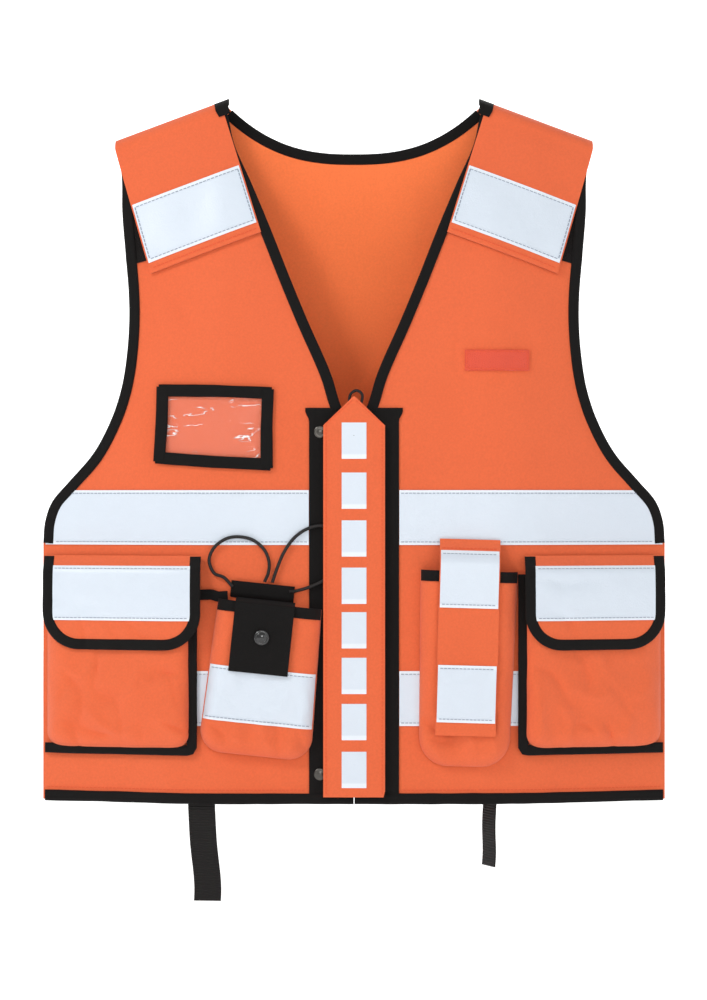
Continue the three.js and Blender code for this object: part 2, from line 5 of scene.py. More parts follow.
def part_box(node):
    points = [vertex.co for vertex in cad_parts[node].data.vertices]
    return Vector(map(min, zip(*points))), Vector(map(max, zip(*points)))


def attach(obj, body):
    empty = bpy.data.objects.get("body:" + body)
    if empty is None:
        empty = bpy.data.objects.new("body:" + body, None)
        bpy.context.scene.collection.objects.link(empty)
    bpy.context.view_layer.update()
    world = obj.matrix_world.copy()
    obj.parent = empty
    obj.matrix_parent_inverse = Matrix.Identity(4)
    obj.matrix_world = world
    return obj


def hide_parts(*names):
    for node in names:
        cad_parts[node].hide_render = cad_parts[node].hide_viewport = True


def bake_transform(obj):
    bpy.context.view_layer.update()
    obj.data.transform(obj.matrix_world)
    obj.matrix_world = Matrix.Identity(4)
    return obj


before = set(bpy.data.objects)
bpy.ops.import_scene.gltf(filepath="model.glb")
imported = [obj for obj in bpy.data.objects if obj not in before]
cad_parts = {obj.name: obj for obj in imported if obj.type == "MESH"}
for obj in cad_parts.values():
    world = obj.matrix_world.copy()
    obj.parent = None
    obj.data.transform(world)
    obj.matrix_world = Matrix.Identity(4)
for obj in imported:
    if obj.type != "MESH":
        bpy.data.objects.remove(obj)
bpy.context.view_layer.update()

vestLow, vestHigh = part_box("back_panel")
halfChest = vestHigh[0]
hem = vestLow[2]

# camera, light and floor

view = dict(lens=110, distance=2.78, height=-0.365, side=-0.0005, floorDrop=0.80)


def makeCamera():
    camera = bpy.data.objects.new("camera", bpy.data.cameras.new("camera"))
    camera.data.lens = view["lens"]
    camera.data.sensor_width = 36
    camera.location = (view["side"], -view["distance"] - 0.045, view["height"])
    camera.rotation_euler = (math.radians(90), 0, 0)
    bpy.context.collection.objects.link(camera)
    bpy.context.scene.camera = camera


def makeLight(name, place, aim, size, power):
    light = bpy.data.objects.new(name, bpy.data.lights.new(name, "AREA"))
    light.data.shape = "DISK"
    light.data.size = size
    light.data.energy = power
    light.location = place
    light.rotation_euler = (Vector(aim) - Vector(place)).to_track_quat("-Z", "Y").to_euler()
    bpy.context.collection.objects.link(light)


def makeStage():
    world = bpy.data.worlds.new("soft white")
    world.use_nodes = True
    world.node_tree.nodes["Background"].inputs["Color"].default_value = (1, 1, 1, 1)
    world.node_tree.nodes["Background"].inputs["Strength"].default_value = 0.56
    bpy.context.scene.world = world
    bpy.context.scene.view_settings.view_transform = "Standard"
    makeLight("key light", (-1.5, -1.5, 1.15), (0, 0, -0.35), 0.7, 24)
    makeLight("fill light", (1.6, -2.4, 0.1), (0, 0, -0.35), 1.6, 5)
    makeLight("front light", (0.1, -2.9, 0.25), (0, 0, -0.35), 0.9, 12)
    makeLight("back light", (0.6, 2.0, 1.2), (0, 0, -0.3), 1.2, 14)
    surfaces = (("floor", 0, (0, 0, -view["floorDrop"]), 0.35), ("wall", 90, (0, 6.0, 0), 0.86))
    for name, lean, place, glow in surfaces:
        bm = bmesh.new()
        bmesh.ops.create_circle(bm, cap_ends=True, segments=64, radius=9)
        bmesh.ops.rotate(bm, verts=bm.verts, matrix=Matrix.Rotation(math.radians(lean), 3, "X"))
        bmesh.ops.translate(bm, verts=bm.verts, vec=place)
        mesh = bpy.data.meshes.new(name)
        bm.to_mesh(mesh)
        bm.free()
        sheet = bpy.data.objects.new(name, mesh)
        bpy.context.collection.objects.link(sheet)
        paint = bpy.data.materials.new("pale " + name)
        paint.use_nodes = True
        shader = paint.node_tree.nodes["Principled BSDF"]
        shader.inputs["Base Color"].default_value = (0.9, 0.9, 0.9, 1)
        shader.inputs["Roughness"].default_value = 0.9
        shader.inputs["Emission Color"].default_value = (1, 1, 1, 1)
        shader.inputs["Emission Strength"].default_value = glow
        mesh.materials.append(paint)


makeCamera()
makeStage()
print("stage: camera, lights and floor")

# the hanging shape

drape = dict(front=0.038, back=0.030, fold=0.008, side=0.141, drop=0.170, share=0.22)
cloth = dict(thick=0.0012, tape=0.0006)
shoulder = dict(neck=0.118, outer=0.218, fall=0.037, neckDrop=0.045, run=0.004, flap=0.116)


def mix(a, b, t):
    return a + (b - a) * t


def ease(value, low, high):
    t = min(max((value - low) / (high - low), 0), 1)
    return t * t * (3 - 2 * t)


def softMin(a, b, radius):
    blend = max(radius - abs(a - b), 0) / radius
    return min(a, b) - blend * blend * radius / 4


def level(x, z, face):
    depth = drape[face]
    side = (halfChest + 0.001 - abs(x)) * depth / drape["side"]
    return softMin(depth, side, drape["fold"]) * mix(drape["share"], 1, ease(-z, 0, drape["drop"]))


def edge(points):
    # half-widths at given drops, joined by one smooth curve
    widths = [p[0] for p in points]
    drops = [p[1] for p in points]

    def at(z):
        t = min(max(-z, drops[0]), drops[-1])
        i = max(k for k in range(len(drops) - 1) if drops[k] <= t)
        v0, v1 = widths[i], widths[i + 1]
        first, last = i == 0, i + 2 == len(widths)
        vBefore, before = (v1, drops[1]) if first else (widths[i - 1], drops[i - 1])
        vAfter, after = (v0, drops[i]) if last else (widths[i + 2], drops[i + 2])
        span = drops[i + 1] - drops[i]
        wp = span / 2 / (drops[i] - before)
        wn = span / 2 / (after - drops[i + 1])
        p = (t - drops[i]) / span
        pp, ppp = p * p, p ** 3
        return (vBefore * (-wp * ppp + 2 * wp * pp - wp * p)
                + v0 * ((1 + wp) * ppp + (-1.5 - 2 * wp) * pp + (-0.5 + wp) * p + 1)
                + v1 * ((-1 - wn) * ppp + (1.5 + wn) * pp + 0.5 * p)
                + vAfter * (wn * ppp - wn * pp))
    return at


neckPoints = [(0.118, 0.004), (0.111, 0.038), (0.095, 0.075), (0.077, 0.118), (0.060, 0.161), (0.0435, 0.201),
              (0.0217, 0.251), (0.013, 0.279), (0.0034, 0.300)]
armholePoints = [(0.218, 0.037), (0.213, 0.066), (0.212, 0.100), (0.2085, 0.140), (0.2055, 0.175),
                 (0.205, 0.201), (0.2075, 0.235), (0.2125, 0.264), (0.222, 0.292), (0.239, 0.323),
                 (0.262, 0.349), (0.277, 0.366), (0.284, 0.384), (halfChest, 0.405)]
neckEdge = edge(neckPoints)
armholeEdge = edge(armholePoints)


def shoulderLine(x):
    return -shoulder["fall"] * (abs(x) - shoulder["neck"]) / (shoulder["outer"] - shoulder["neck"])


def backTop(x):
    share = min(abs(x) / shoulder["neck"], 1)
    return -shoulder["neckDrop"] * (1 - share ** 2.6) if abs(x) < shoulder["neck"] else shoulderLine(x)


def crease(x, z, seed, wide=0.13):
    # thin valleys that wander over the cloth, 0 to 1
    line = noise.noise(Vector((x * 13 + z * 5, z * 10 - x * 6, seed)))
    where = ease(noise.noise(Vector((x * 11, z * 11, seed + 2))), -0.05, 0.25)
    return max(0.0, 1 - abs(line) / wide) ** 2 * where


def ripple(x, z, face="front"):
    # hanging folds and puckers, the same for every layer that lies at one place
    seed = 3.0 if face == "front" else 11.0
    middle, sewn = 1, 0
    if face == "front":
        # nearly flat beside the zip and where flaps are sewn on
        middle = mix(0.08, 1, ease(abs(x), 0.045, 0.11))
        sewn = ease(z, -0.520, -0.462) * (1 - ease(z, -0.385, -0.335))
    calm = (1 - 0.92 * sewn) * middle * ease(-z, 0.0, 0.10) * ease(halfChest - abs(x), 0.0, 0.05)
    broad = noise.noise(Vector((x * 7 + z * 2, z * 3.5, seed))) * 0.0060
    slack = noise.noise(Vector((x * 17, z * 9 + x * 6, seed + 5))) * 0.0026
    fine = noise.noise(Vector((x * 44, z * 34, seed + 9))) * 0.0005
    pucker = 0
    for line in (-0.356, -0.406, -0.521, -0.571, hem + 0.010):
        near = math.exp(-((z - line) / 0.009) ** 2)
        pucker += near * noise.noise(Vector((x * 60, line * 30, seed + 13))) * 0.0007
    drag = crease(x, z, seed + 17) * 0.0011 * ease(-z, 0.12, 0.25)
    return (broad + slack + fine - drag) * calm + pucker * ease(halfChest - abs(x), 0.0, 0.03)


def spot(x, z, lift, face="front"):
    depth = max(level(x, z, face) + lift + ripple(x, z, face), 0.0002)
    return Vector((x, -depth if face == "front" else depth, z))


# materials

finishes = {}


def addNode(nodes, kind, operation=None, **values):
    node = nodes.new("ShaderNode" + kind)
    if operation:
        node.operation = operation
    for key, value in values.items():
        node.inputs[key.replace("_", " ")].default_value = value
    return node


def addMath(nodes, link, operation, *terms):
    # each term is a number or the output of another node
    node = addNode(nodes, "Math", operation)
    for place, term in zip(node.inputs, terms):
        if isinstance(term, bpy.types.NodeSocket):
            link(term, place)
        else:
            place.default_value = term
    return node.outputs[0]


def addRange(nodes, link, value, low, high, first, last):
    found = addNode(nodes, "MapRange", From_Min=low, From_Max=high, To_Min=first, To_Max=last)
    link(value, found.inputs["Value"])
    return found.outputs["Result"]


def addBlend(nodes, link, factor, first, second, kind="MIX"):
    # a mix of two colours; each argument is a value or the output of another node
    blend = nodes.new("ShaderNodeMix")
    blend.data_type = "RGBA"
    blend.blend_type = kind
    for name, term in (("Factor", factor), ("A", first), ("B", second)):
        if isinstance(term, bpy.types.NodeSocket):
            link(term, blend.inputs[name])
        else:
            blend.inputs[name].default_value = term
    return blend.outputs["Result"]


def addTexture(nodes, link, kind, **values):
    # a texture in the piece's own space, in metres
    texture = addNode(nodes, "Tex" + kind, **values)
    link(nodes.new("ShaderNodeTexCoord").outputs["Object"], texture.inputs["Vector"])
    return texture


def newGroup(name, numbers, colours, results):
    tree = bpy.data.node_groups.new(name, "ShaderNodeTree")
    for label, default in numbers.items():
        item = tree.interface.new_socket(name=label, in_out="INPUT", socket_type="NodeSocketFloat")
        item.default_value = default
    for label in colours:
        tree.interface.new_socket(name=label, in_out="INPUT", socket_type="NodeSocketColor")
    for label, kind in results.items():
        tree.interface.new_socket(name=label, in_out="OUTPUT", socket_type="NodeSocket" + kind)
    nodes = tree.nodes
    return tree, nodes, tree.links.new, nodes.new("NodeGroupInput"), nodes.new("NodeGroupOutput")


def makeWeaveGroup():
    # over-and-under threads: their height, and how thick each thread is
    tree, nodes, link, start, end = newGroup("plain weave", {"Pitch": 0.0011, "Unevenness": 0.35}, (),
                                             {"Height": "Float", "Slub": "Float"})
    split = nodes.new("ShaderNodeSeparateXYZ")
    link(nodes.new("ShaderNodeTexCoord").outputs["Object"], split.inputs[0])
    waves = []
    for axis in ("X", "Z"):
        share = addMath(nodes, link, "DIVIDE", split.outputs[axis], start.outputs["Pitch"])
        waves.append(addMath(nodes, link, "SINE", addMath(nodes, link, "MULTIPLY", share, math.tau)))
    cross = addMath(nodes, link, "MULTIPLY", *waves)
    slub = addTexture(nodes, link, "Noise", Scale=520, Detail=3).outputs["Fac"]
    link(addMath(nodes, link, "MULTIPLY_ADD", slub, start.outputs["Unevenness"], cross), end.inputs["Height"])
    link(slub, end.inputs["Slub"])
    return tree


def makeTintGroup():
    # slow change of shade over a piece, from washing, light and handling
    tree, nodes, link, start, end = newGroup("worn shade", {"Scale": 9, "Amount": 0.5}, ("First", "Second"),
                                             {"Color": "Color"})
    cloud = addTexture(nodes, link, "Noise", Detail=5, Roughness=0.6)
    link(start.outputs["Scale"], cloud.inputs["Scale"])
    amount = addMath(nodes, link, "MULTIPLY", cloud.outputs["Fac"], start.outputs["Amount"])
    link(addBlend(nodes, link, amount, start.outputs["First"], start.outputs["Second"]), end.inputs["Color"])
    return tree


weaveGroup = makeWeaveGroup()
tintGroup = makeTintGroup()


def linear(code):
    parts = [int(code[i:i + 2], 16) / 255 for i in (1, 3, 5)]
    return tuple(c / 12.92 if c <= 0.04045 else ((c + 0.055) / 1.055) ** 2.4 for c in parts) + (1,)


def newFinish(name, first, second, rough, **fixed):
    paint = bpy.data.materials.new(name)
    paint.use_nodes = True
    nodes, link = paint.node_tree.nodes, paint.node_tree.links.new
    shader = nodes["Principled BSDF"]
    shader.inputs["Roughness"].default_value = rough
    for key, value in fixed.items():
        shader.inputs[key.replace("_", " ")].default_value = value
    tint = nodes.new("ShaderNodeGroup")
    tint.node_tree = tintGroup
    tint.inputs["First"].default_value = linear(first)
    tint.inputs["Second"].default_value = linear(second)
    link(tint.outputs["Color"], shader.inputs["Base Color"])
    finishes[name] = paint
    return nodes, link, shader, tint.outputs["Color"]


def addBump(nodes, link, shader, height, distance):
    bump = addNode(nodes, "Bump", Distance=distance)
    link(height, bump.inputs["Height"])
    link(bump.outputs["Normal"], shader.inputs["Normal"])
    return bump


def wovenFinish(name, first, second, rough, pitch, depth, **fixed):
    nodes, link, shader, tint = newFinish(name, first, second, rough, **fixed)
    weave = nodes.new("ShaderNodeGroup")
    weave.node_tree = weaveGroup
    weave.inputs["Pitch"].default_value = pitch
    addBump(nodes, link, shader, weave.outputs["Height"], depth)
    thread = addRange(nodes, link, weave.outputs["Slub"], 0, 1, 0.88, 1.08)
    link(addBlend(nodes, link, 1, tint, thread, "MULTIPLY"), shader.inputs["Base Color"])


def ribbedFinish(name, first, second, rough, ribs, depth, **fixed):
    # ribs across the piece's length, from its map in metres
    nodes, link, shader, tint = newFinish(name, first, second, rough, **fixed)
    place = nodes.new("ShaderNodeUVMap")
    place.uv_map = "map"
    wave = addNode(nodes, "TexWave", Scale=ribs, Distortion=0.6)
    wave.wave_type = "BANDS"
    wave.bands_direction = "Y"
    link(place.outputs["UV"], wave.inputs["Vector"])
    addBump(nodes, link, shader, wave.outputs["Fac"], depth)


def grainFinish(name, first, second, rough, kind, grain, depth, **fixed):
    # brushed loops from a Voronoi texture, or a plain fine grain from a noise
    nodes, link, shader, tint = newFinish(name, first, second, rough, **fixed)
    texture = addTexture(nodes, link, kind, Scale=grain)
    height = texture.outputs["Distance" if kind == "Voronoi" else "Fac"]
    addBump(nodes, link, shader, height, depth)


def tapeFinish():
    # retroreflective tape: silver-white beads in fine cells, brighter along both long edges
    nodes, link, shader, tint = newFinish("reflective tape", "#cfd8e2", "#c2ccd8", 0.42, Coat_Weight=0.15,
                                          Coat_Roughness=0.3)
    cells = addTexture(nodes, link, "Voronoi", Scale=700)
    dents = addTexture(nodes, link, "Noise", Scale=28, Detail=4)
    fine = addBump(nodes, link, shader, cells.outputs["Distance"], 0.00012)
    addBump(nodes, link, fine, dents.outputs["Fac"], 0.0012)
    uv = nodes.new("ShaderNodeUVMap")
    uv.uv_map = "map"
    split = nodes.new("ShaderNodeSeparateXYZ")
    link(uv.outputs["UV"], split.inputs[0])
    fold = addMath(nodes, link, "PINGPONG", split.outputs["Y"], 0.5)
    rim = addRange(nodes, link, fold, 0.05, 0.075, 1, 0)
    link(addBlend(nodes, link, rim, tint, linear("#dbe2ea")), shader.inputs["Base Color"])


def vinylFinish():
    # clear film: nearly unseen but for opaque white streaks along its creases, which are painted glints
    nodes, link, shader, tint = newFinish("clear vinyl", "#f6ece8", "#ffffff", 0.12, Coat_Weight=0.8,
                                          Coat_Roughness=0.04)
    stretch = addNode(nodes, "Mapping", Scale=(22, 22, 74), Rotation=(0, math.radians(12), 0))
    link(nodes.new("ShaderNodeTexCoord").outputs["Object"], stretch.inputs["Vector"])
    folds = addNode(nodes, "TexNoise", Scale=1.6, Detail=3)
    link(stretch.outputs["Vector"], folds.inputs["Vector"])
    where = addTexture(nodes, link, "Noise", Scale=46)
    size = addMath(nodes, link, "ABSOLUTE", addMath(nodes, link, "SUBTRACT", folds.outputs["Fac"], 0.5))
    # painted glint: the film turns opaque white along each crease line, in scattered patches
    paintedGlint = addRange(nodes, link, size, 0.004, 0.016, 1, 0)
    glintPatches = addRange(nodes, link, where.outputs["Fac"], 0.52, 0.60, 0, 0.85)
    link(addMath(nodes, link, "MULTIPLY_ADD", paintedGlint, glintPatches, 0.035), shader.inputs["Alpha"])
    addBump(nodes, link, shader, folds.outputs["Fac"], 0.002)


wovenFinish("orange cloth", "#ec6b3c", "#e25d2f", 0.86, 0.0011, 0.00016, Sheen_Weight=0.12, Sheen_Roughness=0.5)
# inside of the back: the same cloth in a brighter orange, painted light that offsets the shade falling inside
# the vest
wovenFinish("inner orange painted light", "#ff7e42", "#fa723a", 0.9, 0.0011, 0.00014, Sheen_Weight=0.08, Sheen_Roughness=0.5)
wovenFinish("black binding", "#0b0807", "#060404", 0.85, 0.0014, 0.0002, Sheen_Weight=0.03, Sheen_Roughness=0.4,
            Specular_IOR_Level=0.25)
grainFinish("black loop", "#0f0a09", "#080605", 0.95, "Voronoi", 900, 0.0007, Sheen_Weight=0.06,
            Sheen_Roughness=0.6, Specular_IOR_Level=0.2)
grainFinish("patch pile", "#dd5034", "#d2452c", 0.95, "Voronoi", 1100, 0.0006, Sheen_Weight=0.2,
            Sheen_Roughness=0.6)
ribbedFinish("black webbing", "#120e0d", "#0a0807", 0.75, 130, 0.0005, Specular_IOR_Level=0.3)
ribbedFinish("elastic cord", "#151110", "#0b0908", 0.6, 240, 0.0003)
grainFinish("zip plastic", "#161313", "#0e0c0c", 0.38, "Noise", 300, 0.0001)
grainFinish("stud plastic", "#0c0b0c", "#070607", 0.2, "Noise", 160, 0.00005, Coat_Weight=0.6,
            Coat_Roughness=0.1)
grainFinish("stud metal", "#5a5753", "#45423f", 0.3, "Noise", 260, 0.00004, Metallic=1.0)
grainFinish("thread", "#8d97a6", "#6f7a8c", 0.7, "Noise", 900, 0.0001)
grainFinish("orange thread", "#e2572c", "#c9481f", 0.7, "Noise", 900, 0.0001)
tapeFinish()
vinylFinish()
print("finishes:", len(finishes))

# ways of making a piece

onFront = {"left": ("back", "front_left"), "right": ("back", "front_right")}


def grid(cols, rows):
    bm = bmesh.new()
    bm.loops.layers.uv.new("map")
    bmesh.ops.create_grid(bm, x_segments=cols, y_segments=rows, size=0.5, calc_uvs=True)
    return bm


def scaleMap(bm, width, length):
    layer = bm.loops.layers.uv.active
    for face in bm.faces:
        for loop in face.loops:
            loop[layer].uv = (loop[layer].uv[0] * width, loop[layer].uv[1] * length)


def keep(name, bm, paint, body, stands=None, smooth=True):
    # a piece from the mesh: its finishes, smooth shading, and its place on a body; the CAD part it stands for
    # is hidden
    mesh = bpy.data.meshes.new(name)
    bm.to_mesh(mesh)
    bm.free()
    for face in mesh.polygons:
        face.use_smooth = smooth
    if smooth:
        mesh.set_sharp_from_angle(angle=math.radians(50))
    paints = paint if isinstance(paint, tuple) else (paint,)
    for one in paints:
        mesh.materials.append(finishes[one])
    piece = bpy.data.objects.new(name, mesh)
    bpy.context.collection.objects.link(piece)
    if isinstance(body, tuple):
        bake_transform(piece)
    else:
        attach(piece, body)
    if stands:
        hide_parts(stands)
    return piece


def clothBm(cols, rows, place, thick, size=(1, 1)):
    # a sheet whose outer face is given by place(u, v), with its thickness behind it
    bm = grid(cols, rows)
    scaleMap(bm, *size)
    for vert in bm.verts:
        vert.co = place(vert.co.x + 0.5, vert.co.y + 0.5)
    bm.normal_update()
    middle = sum((face.normal for face in bm.faces), Vector())
    seen = sum((face.calc_center_median() for face in bm.faces), Vector())
    if middle.y * seen.y < 0:
        bmesh.ops.reverse_faces(bm, faces=bm.faces)
        bm.normal_update()
    bmesh.ops.solidify(bm, geom=bm.faces[:], thickness=thick)
    bmesh.ops.recalc_face_normals(bm, faces=bm.faces)
    return bm


def closeBm(bm, near=1e-7):
    bmesh.ops.remove_doubles(bm, verts=bm.verts, dist=near)
    bmesh.ops.holes_fill(bm, edges=[e for e in bm.edges if e.is_boundary], sides=0)
    bmesh.ops.recalc_face_normals(bm, faces=bm.faces)
    return bm


def sectionBm(section, count, size, at):
    # a closed section, as (across, out) pairs, carried past count places; at(place, across, out) is a point
    bm = grid(len(section), count - 1)
    scaleMap(bm, *size)
    for vert in bm.verts:
        i = round((vert.co.x + 0.5) * len(section)) % len(section)
        j = round((vert.co.y + 0.5) * (count - 1))
        vert.co = at(j, *section[i])
    return closeBm(bm)


def sweepBm(frames, section, size=(1, 1)):
    # along frames of (point, across, out)
    def at(j, across, out):
        centre, side, up = frames[j]
        return centre + side * across + up * out
    return sectionBm(section, len(frames), size, at)


def oval(half, thick, count=12, power=0.45):
    # a flattened round section: the shape of a folded strip
    pairs = []
    for k in range(count):
        turn = math.tau * (k + 0.5) / count
        c, s = math.cos(turn), math.sin(turn)
        pairs.append((half * math.copysign(abs(c) ** power, c), thick * math.copysign(abs(s) ** power, s)))
    return pairs


def alongLine(points, step):
    # points in the plane, evenly spaced along a broken line: (x, z, across x, across z)
    lengths = [0.0]
    for a, b in zip(points, points[1:]):
        lengths.append(lengths[-1] + math.hypot(b[0] - a[0], b[1] - a[1]))
    count = max(2, round(lengths[-1] / step))
    found, k = [], 0
    for n in range(count + 1):
        far = lengths[-1] * n / count
        while k < len(points) - 2 and lengths[k + 1] < far:
            k += 1
        t = (far - lengths[k]) / max(lengths[k + 1] - lengths[k], 1e-9)
        a, b = points[k], points[k + 1]
        found.append((mix(a[0], b[0], t), mix(a[1], b[1], t)))
    lines = []
    for n, (x, z) in enumerate(found):
        a, b = found[max(n - 1, 0)], found[min(n + 1, count)]
        dx, dz = b[0] - a[0], b[1] - a[1]
        size = math.hypot(dx, dz) or 1
        lines.append((x, z, -dz / size, dx / size))
    return lines, lengths[-1]


def bindingBm(points, lift, face="front", half=0.0050, thick=0.0023, step=0.004, surface=None):
    # a folded strip over a cloth edge; lift is the height of its middle above the drape
    lines, length = alongLine(points, step)
    place = surface or (lambda x, z, rise: spot(x, z, rise, face))

    def at(j, across, out):
        x, z, ax, az = lines[j]
        across *= 1 + 0.05 * noise.noise(Vector((x * 60, z * 60, 2.5)))
        return place(x + ax * across, z + az * across, lift + out)
    return sectionBm(oval(half, thick), len(lines), (half * 4, length), at)


stitches = {}


sewing = dict(pitch=0.0036, thick=0.0006, share=0.72)


def stitch(group, points, place, paint="thread"):
    # a sewn line: one small raised bar for each stitch; place(x, z) is the point on the surface
    lines = alongLine(points, sewing["pitch"])[0]
    rows = stitches.setdefault((group, paint), [])
    for (x, z, ax, az), (x2, z2, ax2, az2) in zip(lines, lines[1:]):
        share = sewing["share"]
        a, b = place(x, z), place(mix(x, x2, share), mix(z, z2, share))
        if (b - a).length > 1e-5:
            rows.append((a, b))


def sewAll():
    for (group, paint), rows in stitches.items():
        bm = bmesh.new()
        for a, b in rows:
            turn = (b - a).to_track_quat("X", "Y").to_matrix().to_4x4()
            shape = Matrix.Diagonal(((b - a).length, sewing["thick"], sewing["thick"], 1))
            bmesh.ops.create_cube(bm, size=1, matrix=Matrix.Translation((a + b) / 2) @ turn @ shape)
        label = group if isinstance(group, str) else group[1] + "_upper"
        keep("stitches_" + label + ("_tone" if paint != "thread" else ""), bm, paint, group, smooth=False)


def arc(cx, cz, radius, first, last, count=8):
    return [(cx + radius * math.cos(math.radians(mix(first, last, k / count))),
             cz + radius * math.sin(math.radians(mix(first, last, k / count)))) for k in range(count + 1)]

# back, yokes and fronts

panel = dict(seamNeck=-0.1150, seamArm=-0.150, overlap=0.004, zipGap=0.0034, cols=64, rows=110)
sides = {"left": 1, "right": -1}


def seamZ(u):
    return mix(panel["seamNeck"], panel["seamArm"], u)


def backPlace(u, v):
    s = 2 * u - 1
    z = mix(hem, backTop(s * shoulder["outer"]), v)
    return spot(s * armholeEdge(z), z, cloth["thick"], "back")


def foldPoint(sign, u, v, rise, apex, backDepth):
    # over the top of the shoulder, from the back (v = 0) to the front (v = 1)
    topX = mix(shoulder["neck"], shoulder["outer"], u)
    angle = math.pi * v
    turn = (1 - math.cos(angle)) / 2
    z = shoulderLine(topX) + mix(0.0006, -shoulder["run"], turn) + apex * math.sin(angle)
    depth = mix(-backDepth, level(topX, -0.02, "front") * 0.93 + rise, turn)
    return Vector((sign * topX, -depth, z))


def yokePlace(sign, u, v):
    if v < 0.14:
        return foldPoint(sign, u, v / 0.14, 0.0012, 0.0030, 0.0074)
    t = (v - 0.14) / 0.86
    topX = mix(shoulder["neck"], shoulder["outer"], u)
    z = mix(shoulderLine(topX) - shoulder["run"], seamZ(u), t)
    x = mix(neckEdge(z), armholeEdge(z), u)
    join = ease(t, 0.0, 0.12)
    start = foldPoint(sign, u, 1, 0.0012, 0.0030, 0.0074)
    lift = 0.0012 + 0.0013 * ease(z - seamZ(u), 0.012, 0.004) if z - seamZ(u) < 0.012 else 0.0012
    point = spot(sign * x, z, lift)
    return Vector((mix(start.x, point.x, join) if t < 0.12 else point.x, mix(start.y, point.y, join), z))


def frontPlace(sign, u, v):
    z = mix(seamZ(u) + panel["overlap"], hem, v)
    x = mix(max(neckEdge(z), panel["zipGap"]), armholeEdge(z), u)
    return spot(sign * x, z, cloth["thick"])


def flapPlace(sign, along, share, lift=0.0046):
    along = mix(0.035 * (1 - share), 1.045, along)
    topX = mix(0.118, 0.216, along)
    if share < 0.12:
        return foldPoint(sign, along * 0.98, share / 0.12, lift, 0.0066, 0.0082 + lift * 0.35)
    run = (share - 0.12) / 0.88
    x = topX + mix(-0.033, -0.034, along) * run
    z = shoulderLine(topX) - shoulder["run"] - shoulder["flap"] * run
    start = foldPoint(sign, along * 0.98, 1, lift, 0.0066, 0.0082)
    sag = 0.0012 * math.sin(math.pi * run) * noise.noise(Vector((x * 30, z * 22, 7.5)))
    point = spot(sign * x, z, lift + sag)
    join = ease(run, 0.0, 0.14)
    return Vector((point.x, mix(start.y, point.y, join), z))


bm = clothBm(128, 130, backPlace, cloth["thick"], (0.572, 0.641))
# faces that look forward are the inside of the back; they take the brighter orange, painted light
for face in bm.faces:
    face.material_index = 1 if face.normal.y < -0.2 else 0
keep("back_cloth", bm, ("orange cloth", "inner orange painted light"), "back", "back_panel")

for side, sign in sides.items():
    bm = clothBm(30, 44, lambda u, v: yokePlace(sign, u, v), 0.0011, (0.1, 0.15))
    keep("yoke_cloth_" + side, bm, "black loop", "back", "yoke_" + side)
    bm = clothBm(panel["cols"], panel["rows"], lambda u, v: frontPlace(sign, u, v), cloth["thick"], (0.28, 0.5))
    keep("front_cloth_" + side, bm, "orange cloth", onFront[side], "front_panel_" + side)
    body = "shoulder_flap_" + side
    bm = clothBm(30, 44, lambda u, v: flapPlace(sign, u, v), 0.0015, (0.1, 0.13))
    keep("shoulder_flap_cloth_" + side, bm, "orange cloth", body, body)

    def patchPlace(u, v):
        return flapPlace(sign, mix(0.012, 0.988, u), mix(0.52, 0.93, v), 0.0054)

    def cornerPlace(u, v):
        return flapPlace(sign, mix(-0.055, 0.10 - 0.05 * v, u), mix(0, 0.165, v), 0.0059)

    bm = clothBm(30, 16, patchPlace, cloth["tape"], (0.1, 1))
    keep("shoulder_reflector_" + side, bm, "reflective tape", body, "shoulder_patch_" + side)
    bm = clothBm(8, 18, cornerPlace, 0.0010, (0.01, 0.03))
    keep("shoulder_flap_corner_" + side, bm, "black binding", body)

# tapes, front and back
tapes = dict(chest=(-0.356, -0.406), waist=(-0.521, -0.571), start=0.0413, waistEnd=0.276)


def tapePlace(sign, u, v, top, bottom):
    z = mix(top, bottom, v)
    slack = 0.0002 * math.sin(math.pi * v)
    reach = armholeEdge(z) - 0.001 if top > -0.5 else tapes["waistEnd"]
    return spot(sign * mix(tapes["start"], reach, u), z, 0.0023 + slack)


def backTapePlace(u, v, top, bottom):
    z = mix(top, bottom, v)
    return spot((2 * u - 1) * (armholeEdge(z) - 0.001), z, 0.0023, "back")


for row in ("chest", "waist"):
    top, bottom = tapes[row]
    bm = clothBm(120, 14, lambda u, v: backTapePlace(u, v, top, bottom), cloth["tape"], (0.57, 1))
    keep("back_reflector_" + row, bm, "reflective tape", "back", "back_" + row + "_tape")
    for side, sign in sides.items():
        keep(row + "_reflector_" + side,
             clothBm(64, 14, lambda u, v: tapePlace(sign, u, v, top, bottom), cloth["tape"], (0.24, 1)),
             "reflective tape", "front_" + side, row + "_tape_" + side)
print("back, yokes, fronts, shoulder flaps and tapes")

# bindings


def edgeFrames(point, inner, ts, inset=0.0040, drop=-0.0001):
    # frames along a cloth edge: point(t) on it, inner(t) a little way in, both on the outer face
    frames, before = [], None
    for k, t in enumerate(ts):
        p, q = point(t), inner(t)
        a, b = point(ts[max(k - 1, 0)]), point(ts[min(k + 1, len(ts) - 1)])
        along = (b - a).normalized()
        across = q - p
        across = (across - along * across.dot(along)).normalized()
        out = along.cross(across).normalized()
        hint = before or Vector((0, p.y, 0.002))
        if out.dot(hint) < 0:
            out = -out
        before = out
        frames.append((p + across * inset + out * drop, across, out))
    return frames


def steps(first, last, count):
    return [mix(first, last, k / count) for k in range(count + 1)]


bindingSection = oval(0.0050, 0.0023)


def shoulderEdge(sign, u, t):
    # t < 1 runs over the shoulder and down the yoke, t from 1 to 2 down the front
    if t < 1:
        return yokePlace(sign, u, t * 0.97)
    z = mix(seamZ(u), -0.281 if u < 0.5 else -0.4045, t - 1)
    x = neckEdge(z) if u < 0.5 else armholeEdge(z)
    inside = min(u, 1 - u)
    x = x + (inside * 0.1 if u < 0.5 else -inside * 0.1)
    return spot(sign * x, z, cloth["thick"])


